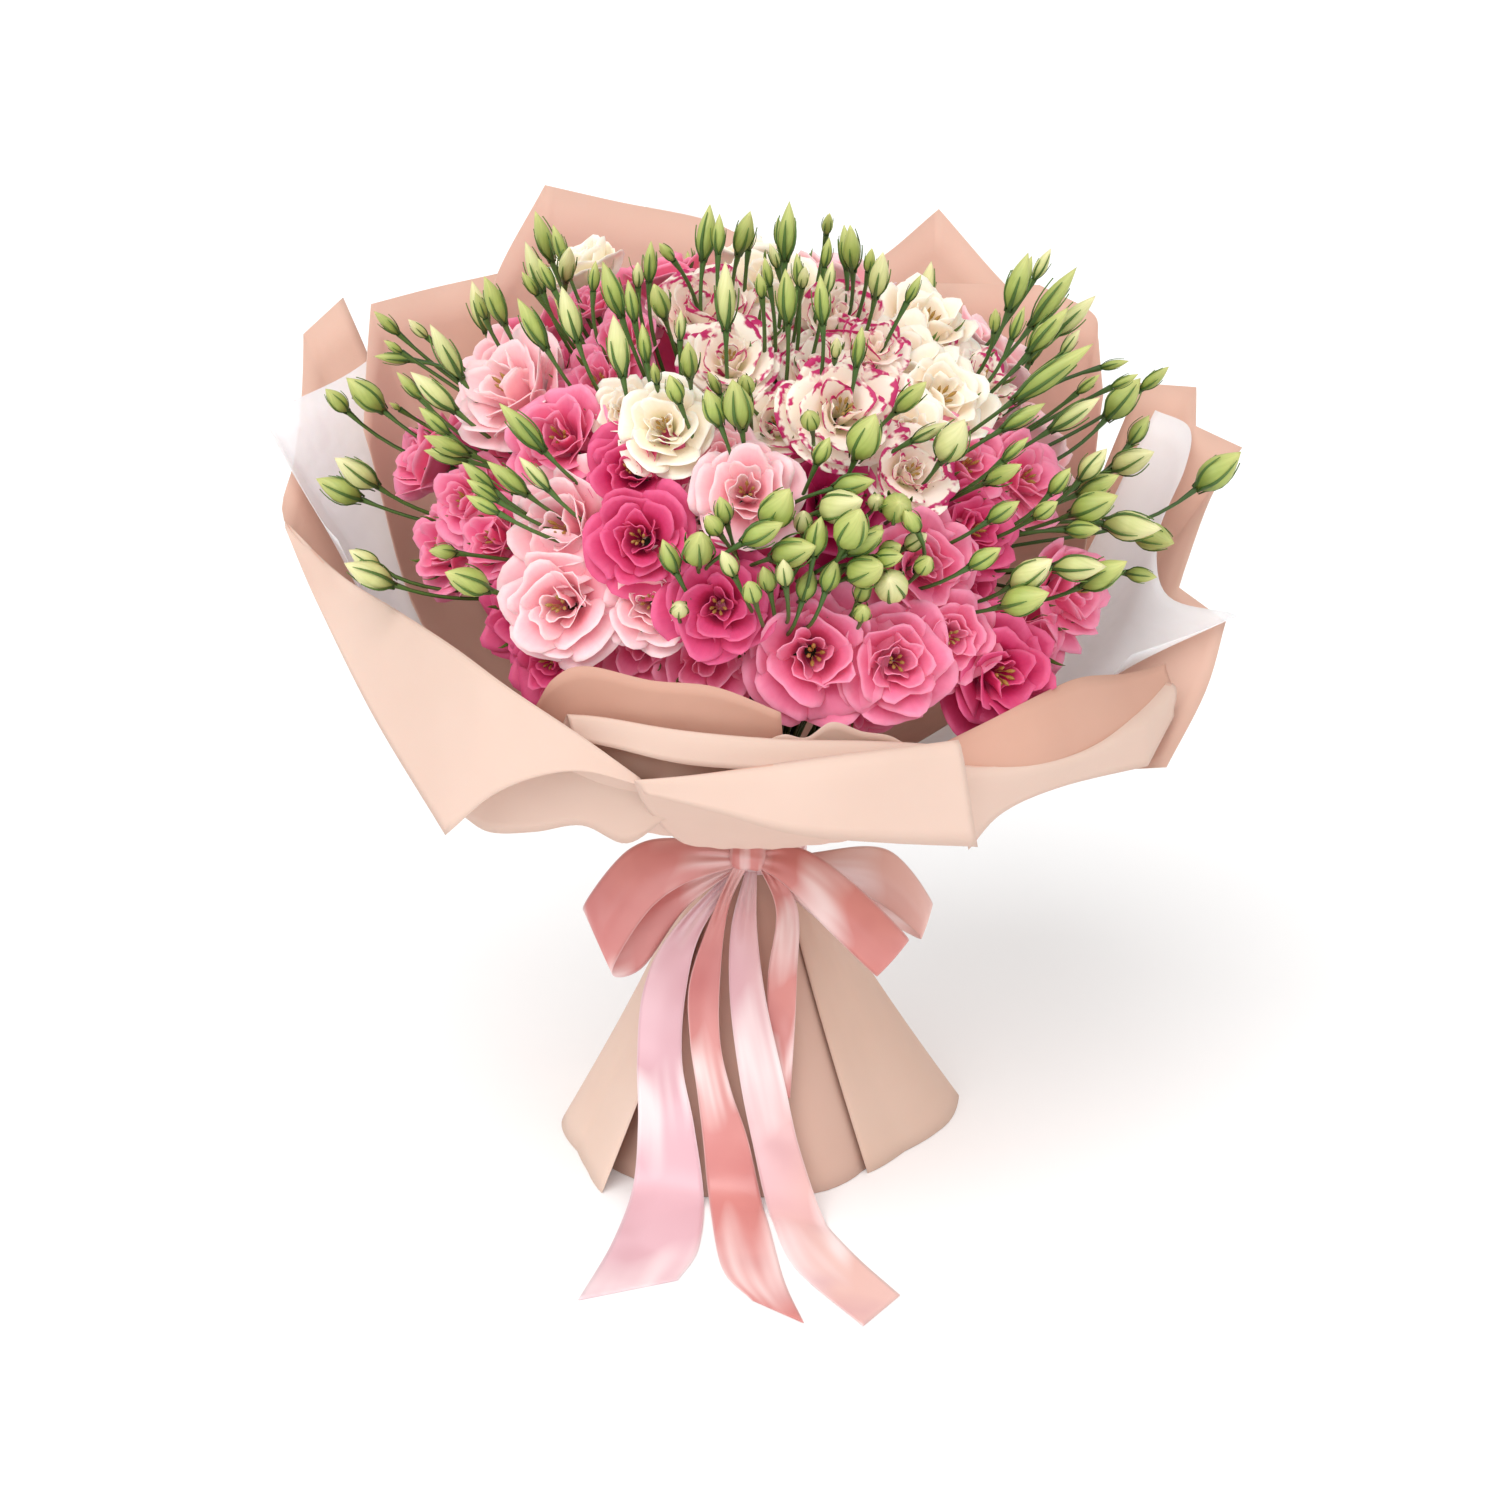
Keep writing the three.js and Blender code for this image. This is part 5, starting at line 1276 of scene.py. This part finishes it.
green_buds, pale_buds, sepals = [], [], []
for number, (calyx, tip) in enumerate(all_buds):
    axis = (tip - calyx).normalized()
    length = (tip - calyx).length
    root, way = next_stalk(calyx)
    points = diving(root, calyx + axis * STALK_INTO_BUD, axis, BUD_STALK_STEPS)
    stalks.append((points, [STALK_THICKNESS] * BUD_STALK_STEPS + [STALK_THICKNESS * 1.7]))
    turn = dice.uniform(0, math.tau)
    crowded = calyx.y < CLUSTER["before"] and abs(calyx.x) < CLUSTER["within"]
    build = "slim" if calyx.z > SLIM_ABOVE and not crowded else "full"
    model = dice.choice(BUD_MODELS[build])
    girth = min(BUD_BELLY["widest"], length * BUD_BELLY["share"]) / (BUD_BELLY["share"] * length)
    if crowded:
        girth *= CLUSTER["plumper"]
    size = (length * MM * girth, length * MM * girth, length * MM, 1)
    matrix = facing_matrix(calyx, axis, turn, 1) @ Matrix.Diagonal(size)
    copy = placed_copy(model, matrix)
    (pale_buds if number % PALE_EVERY == 1 else green_buds).append(copy)
    sepals.append(placed_copy(dice.choice(BUD_SEPALS[build]), matrix))

for models in (*BUD_MODELS.values(), *BUD_SEPALS.values()):
    dismiss(models)

for place in bloom_places:
    matrix = facing_matrix(place["calyx"], place["axis"], dice.uniform(0, math.tau), place["radius"] * MM)
    sepals.append(placed_copy(dice.choice(BLOOM_SEPALS), matrix))

dismiss(BLOOM_SEPALS)

finish_piece(bundled("stems", stalks), GREENS["stem"], ["stems_and_buds"])
for pieces, name, green in (
    (green_buds, "green_buds", "bud"), (pale_buds, "pale_buds", "pale_bud"), (sepals, "sepals", "sepal"),
):
    finish_piece(join(pieces, name), GREENS[green], ["stems_and_buds"])

# ---- Papers ----

BAND = {"radius": 33.7, "top": 190, "bottom": 171, "thickness": 0.9}
NECK_RADIUS = 18.2
LAYER_PITCH = 1.7
SKIRT_LAYER = 7
BOWL = {"margin": 13, "pitch": 4.4, "drop": 2.3, "rows": (246, 302), "below_edge": 12}
SWELL = [(TIE_HEIGHT, 0), (246, 0.44), (302, 0.845), (345, 1)]  # how far the bowl has swelled, at some heights
PAPER_THICKNESS = 0.35


def bowl_point(turn, height, layer):
    a = DOME["side"] + BOWL["margin"]
    b = (DOME["front"] if abs(turn) < 90 else DOME["back"]) + BOWL["margin"]
    widest = 1 / math.hypot(math.sin(math.radians(turn)) / a, math.cos(math.radians(turn)) / b)
    radius = blend_value(NECK_RADIUS, widest, between(SWELL, height)) + layer * BOWL["pitch"]
    return round_axis(turn, radius, height - layer * BOWL["drop"])


def turn_of(p):
    return math.degrees(math.atan2(p.x, -p.y))


def at_pixel(point):
    return seen(point[:2], point[2])


def turn_between(start, end, share):
    step = (end - start + 540) % 360 - 180
    return start + step * share


CORNERS_FROM = 0.5


def surface_through(columns, corners=()):
    """A surface through rows of points, smooth both ways, whose last edge is broken at its corners."""
    lines = [spline(column) for column in columns]

    def surface(u, v):
        row = [line(v) for line in lines]
        soft = spline(row)(u)
        if not corners:
            return soft
        return soft.lerp(spline(row, corners)(u), ease((v - CORNERS_FROM) / (1 - CORNERS_FROM)))

    return surface


NECK_BELOW, NECK_ABOVE = 2, 10  # how far above the foot and the top of the band a sheet's lowest rows are


def paper_columns(spec):
    """Columns of points from the neck up through the bowl to each point of a sheet's edge, and on to its flap."""
    radius = NECK_RADIUS + spec["layer"] * LAYER_PITCH
    columns = []
    for i, pixel in enumerate(spec["edge"]):
        neck_turn = blend_value(spec["neck"][0], spec["neck"][1], i / (len(spec["edge"]) - 1))
        rim = at_pixel(pixel)
        heights = (BAND["bottom"] + NECK_BELOW, BAND["top"] + NECK_ABOVE - spec["layer"] * LAYER_PITCH)
        column = [round_axis(neck_turn, radius, z) for z in heights]
        rows = len(BOWL["rows"])
        for row, height in enumerate(BOWL["rows"]):
            turn = turn_between(neck_turn, turn_of(rim), (row + 1) / (rows + 1))
            column.append(bowl_point(turn, min(height, rim.z - BOWL["below_edge"] * (rows - row)), spec["layer"]))
        column.append(rim)
        if "flap" in spec:
            column.append(at_pixel(spec["flap"][i]))
        columns.append(column)
    return columns


GATHER_DEPTH = 2.4
SLOPE_STEP = 0.02  # how far to each side a sheet's slope is felt, in shares of its width or length


def crumpled(surface, seed, depth):
    """The surface with gathers that fade from the tie upwards and a loose wave along its rim."""
    dice = random.Random(seed)

    def ripples(*rates):
        return [(dice.uniform(slow, fast), dice.uniform(0, math.tau)) for slow, fast in rates]

    gathers, waves = ripples((9, 15), (17, 26)), ripples((2.5, 4.5), (5, 8))

    def bent(u, v):
        across = surface(min(u + SLOPE_STEP, 1), v) - surface(max(u - SLOPE_STEP, 0), v)
        along = surface(u, min(v + SLOPE_STEP, 1)) - surface(u, max(v - SLOPE_STEP, 0))
        normal = across.cross(along).normalized()
        gather = sum(math.sin(u * rate * 2 + phase) for rate, phase in gathers) / 2
        wave = sum(math.sin((u + v * 0.25) * rate + phase) for rate, phase in waves) / 2
        held = ease(v * 4)
        amount = gather * GATHER_DEPTH * held * (1 - v) ** 3 + wave * depth * ease((v - 0.35) / 0.65)
        return surface(u, v) + normal * amount

    return bent


SHEET_CELLS = 48
SHEET_ROWS = 34


def paper_sheet(name, columns, corners, seed, thickness, rows, depth):
    """A sheet through columns of points, cut into cells that fall on its corners."""
    spans = len(columns) - 1
    across = spans * max(round(SHEET_CELLS / spans), 4)
    surface = crumpled(surface_through(columns, corners), seed, depth)
    return grid_skin(name, surface, across, rows, thickness=thickness)


FOLD = {"corners": (3,), "seed": 77, "rows": 14}
SHEET_SEEDS = 100


def deepen_inside(piece, inside, heart):
    """Paints the faces that look towards the heart of the bouquet in a second tone, as painted shade; the paper is
    one colour on both sides.
    """
    piece.data.materials.append(inside)
    for face in piece.data.polygons:
        if face.normal.dot(face.center - heart * MM) < 0:
            face.material_index = 1


SHEET_HEART = Vector((0, 0, 330))
LIGHT_SHEETS = ("front_under_left", "front_roll")  # these get no painted shade on their inner faces
# These sheets take the deep paper: painted shade all over.
SHADED_SHEETS = ("front_curl", "front_right_inner")
SHEET_NODES = {"front_right_inner": "paper_front_right", "front_ruffle": "front_roll"}
SHEET_WAVE = {"paper": 1.6, "tissue": 3.0, "fold": 1.2}
TISSUE_THICKNESS = 0.2

for seed, (name, spec) in enumerate(SHEETS.items()):
    tissue = name.startswith("tissue")
    kind, thickness = ("tissue", TISSUE_THICKNESS) if tissue else ("paper", PAPER_THICKNESS)
    columns, corners = paper_columns(spec), spec.get("corners", ())
    piece = paper_sheet(
        f"{name}_sheet", columns, corners, SHEET_SEEDS + seed, thickness, SHEET_ROWS, SHEET_WAVE[kind]
    )
    if "fold" in spec:
        folded = [(at_pixel(rim), at_pixel(corner)) for rim, corner in zip(spec["edge"], spec["fold"])]
        columns = [[rim, rim.lerp(corner, 0.5), corner] for rim, corner in folded]
        fold = paper_sheet(
            "fold", columns, FOLD["corners"], FOLD["seed"], thickness, FOLD["rows"], SHEET_WAVE["fold"]
        )
        piece = join([piece, fold], piece.name)
    paper = "tissue" if tissue else "deep" if name in SHADED_SHEETS else "blush"
    finish_piece(piece, PAPERS[paper], [SHEET_NODES.get(name, name)])
    # The other papers get painted shade on the faces that look into the bouquet.
    if not tissue and name not in LIGHT_SHEETS + SHADED_SHEETS:
        deepen_inside(piece, PAPERS["inside"], SHEET_HEART)
    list(spec["cut"])

# Each sheet of the skirt: its paper, its layer, the turns that it reaches between, its waves and cells across, its
# cut, and the radius of its lower edge at some turns. The left panel's paper carries painted light and the middle
# panel's painted shade.
SKIRT = {
    "skirt_middle": {
        "paper": "skirt_painted_shade", "layer": 0,
        "turns": (-177, 177), "waves": 9, "cells": 96, "cut": (0.62, 0.24, 0.085),
        "feet": [
            (-180, 96), (-128, 96), (-100, 101), (-80, 108), (-48, 116), (-28, 124), (20, 124), (38, 110), (60, 104),
            (98, 110), (124, 98), (180, 96),
        ],
    },
    "skirt_left": {
        "paper": "skirt_painted_light", "layer": 1,
        "turns": (-128, -37), "waves": 2, "cells": 36, "cut": (0.26, 0.22, 0.0226),
        "feet": [(-128, 101), (-100, 107), (-80, 116), (-60, 122), (-48, 132), (-37, 146)],
    },
    "skirt_right": {
        "paper": "skirt", "layer": 1,
        "turns": (38, 124), "waves": 2, "cells": 36, "cut": (0.26, 0.22, 0.0226),
        "feet": [(38, 114), (57, 113), (73, 118), (98, 132), (112, 117), (124, 103)],
    },
}

SKIRT_FLARE = 1.15
SKIRT_ROWS = 20
SKIRT_TOP = BAND["top"] - 1.5
SKIRT_WAVES = {"hem": 1.3, "gather": 0.5}
SKIRT_HEART = Vector((0, 0, 60))
for seed, (name, spec) in enumerate(SKIRT.items()):
    neck = NECK_RADIUS + (SKIRT_LAYER + spec["layer"]) * LAYER_PITCH

    def surface(u, v, spec=spec, neck=neck, seed=seed):
        z = blend_value(SKIRT_TOP, PAPER_THICKNESS, v)
        down = max(BAND["bottom"] - 1 - z, 0) / (BAND["bottom"] - 1)
        wave = math.sin(u * spec["waves"] * math.tau + seed) * SKIRT_WAVES["hem"] * down
        gather = math.sin(u * spec["waves"] * 3 * math.tau) * SKIRT_WAVES["gather"] * (1 - down) * ease(v * 6)
        turn = blend_value(*spec["turns"], u)
        foot = between(spec["feet"], turn)
        return round_axis(turn, neck + (foot - neck) * down**SKIRT_FLARE + wave + gather, z)

    piece = grid_skin(f"{name}_sheet", surface, spec["cells"], SKIRT_ROWS, thickness=PAPER_THICKNESS)
    finish_piece(piece, PAPERS[spec["paper"]], [name])
    # Painted shade on the skirt's inner faces.
    deepen_inside(piece, PAPERS["skirt_inside"], SKIRT_HEART)
    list(spec["cut"])

# ---- Ribbons ----

LYING = 0.7
HANGING = {"from": 860, "near": 16, "slope": 0.05}
RIBBON_THICKNESS = 0.4


def ribbon_point(point, lower=0):
    px, py = point[:2]
    near = point[2] if len(point) > 2 else HANGING["near"] + (py - HANGING["from"]) * HANGING["slope"] - lower
    hanging = seen((px, py), near)
    if hanging.z >= LYING:
        return hanging
    sight = hanging - EYE
    return EYE + sight * ((EYE.z - LYING) / (EYE.z - hanging.z))


RIBBON_CELLS = (14, 80)
TAIL = {"puff": 2.2, "waves": 13, "ends_held": 0}
LOOP = {"puff": 6.0, "waves": 4, "ends_held": 1}
PLEATS = {"across": 2.5, "depth": 2.0}
PUFF_WAY = Vector((0, -1, 0.3))
SETTLING = 40  # below this height a ribbon's waves flatten as it comes to lie on the floor


def ribbon_strip(name, spec):
    """A strip from the knot outwards: a tail that waves and lies down, or a loop that comes back and puffs up."""
    one, other = (spline([ribbon_point(p, spec.get("lower", 0)) for p in spec[side]]) for side in ("one", "other"))
    phase = sum(ord(letter) for letter in name)
    puff, waves, ends_held = (LOOP if "loop" in name else TAIL).values()

    def surface(u, v):
        place = one(v).lerp(other(v), u)
        held = 1 - ease(v * 5) * (1 - ends_held * ease(v * 5 - 4))
        pleat = math.sin(u * math.tau * PLEATS["across"] + phase) * PLEATS["depth"] * held * ease(v * 12)
        pleat *= 1 - ends_held * ease(v * 12 - 11)
        swell = math.sin(u * math.pi) * puff * (1 - held) * (1 if ends_held else math.sin(v * waves + phase))
        place += PUFF_WAY * (pleat + swell * min(max(place.z / SETTLING, 0), 1))
        place.z = max(place.z, LYING)
        return place

    return grid_skin(name, surface, *RIBBON_CELLS, thickness=RIBBON_THICKNESS)


BAND_CELLS = (72, 6)
BAND_SLUB = 0.25
BAND_BELLY = 0.5
BAND_SEAM = 0.00002  # how near, in metres, the points of the seam are to be joined


def band(name, bottom, top):
    def surface(u, v):
        turn = u * 360
        slub = math.sin(math.radians(turn * 3)) * BAND_SLUB + math.sin(v * math.pi) * BAND_BELLY
        return round_axis(turn, BAND["radius"] + slub, blend_value(bottom, top, v))

    piece = grid_skin(name, surface, *BAND_CELLS)
    select_only(piece)
    bpy.ops.object.mode_set(mode="EDIT")
    bpy.ops.mesh.select_all(action="SELECT")
    bpy.ops.mesh.remove_doubles(threshold=BAND_SEAM)
    bpy.ops.object.mode_set(mode="OBJECT")
    apply_modifier(piece, "SOLIDIFY", thickness=BAND["thickness"] * MM, offset=0.0)
    return piece


KNOT = {"at": Vector((-1, -40, 186)), "across": 12, "high": 9.5, "deep": 8}
KNOT_ROWS = [0.72, 0.93, 1.0, 0.94, 0.9, 0.94, 1.0, 0.93, 0.72]
KNOT_SEGMENTS = 32


def knot():
    """The ribbon's turn over the middle of the bow: a soft roll with creases that run round it."""

    def place(angle, share, radius):
        along = share * 2 - 1
        crease = 1 + 0.07 * math.sin(angle * 7 + along * 2) + 0.03 * math.sin(angle * 13)
        high = KNOT["high"] * radius * crease
        deep = KNOT["deep"] * radius * crease
        return KNOT["at"] + Vector((along * KNOT["across"], -math.cos(angle) * deep, math.sin(angle) * high))

    return turned_solid("knot", KNOT_ROWS, KNOT_SEGMENTS, place)


BAND_SPLIT = 178
for colour in ("rose", "pale"):
    strips = [ribbon_strip(name, spec) for name, spec in RIBBONS.items() if name.startswith(colour)]
    if colour == "rose":
        strips += [band("band", BAND_SPLIT, BAND["top"]), knot()]
    else:
        strips.append(band("band", BAND["bottom"], BAND_SPLIT + 1))
    piece = join(strips, f"{colour}_satin")
    finish_piece(piece, SATINS[colour], [f"ribbon_{colour}"])

# ---- Floor and light ----


FLOOR_SIZE = 30  # metres
FLOOR_TONE = (0.91, 0.91, 0.91, 1)


def floor():
    clear_selection()
    bpy.ops.mesh.primitive_plane_add(size=FLOOR_SIZE, location=(0, 0, 0))
    ground = bpy.context.object
    ground.name = "floor"
    surface = Finish(
        "floor_white", Roughness=0.85, Base_Color=FLOOR_TONE, Emission_Strength=0.1, Emission_Color=WHITE
    )
    ground.data.materials.append(surface.material)


BOUQUET_HEART = Vector((0, 0, 0.35))
SKY_STRENGTH = 0.72


def lamp(name, place, spread, power):
    """A broad, even light from one side; spread is how many degrees of the sky it fills."""
    data = bpy.data.lights.new(name, "SUN")
    data.angle = math.radians(spread)
    data.energy = power
    stand(name, data, place, BOUQUET_HEART - Vector(place))


floor()
lamp("key", (-0.75, -1.45, 2.4), spread=55, power=1.9)
lamp("fill", (1.8, -1.2, 1.2), spread=70, power=0.4)

world = bpy.data.worlds.new("studio")
bpy.context.scene.world = world
world.use_nodes = True
sky = world.node_tree.nodes["Background"].inputs
sky["Color"].default_value = WHITE
sky["Strength"].default_value = SKY_STRENGTH

clear_selection()
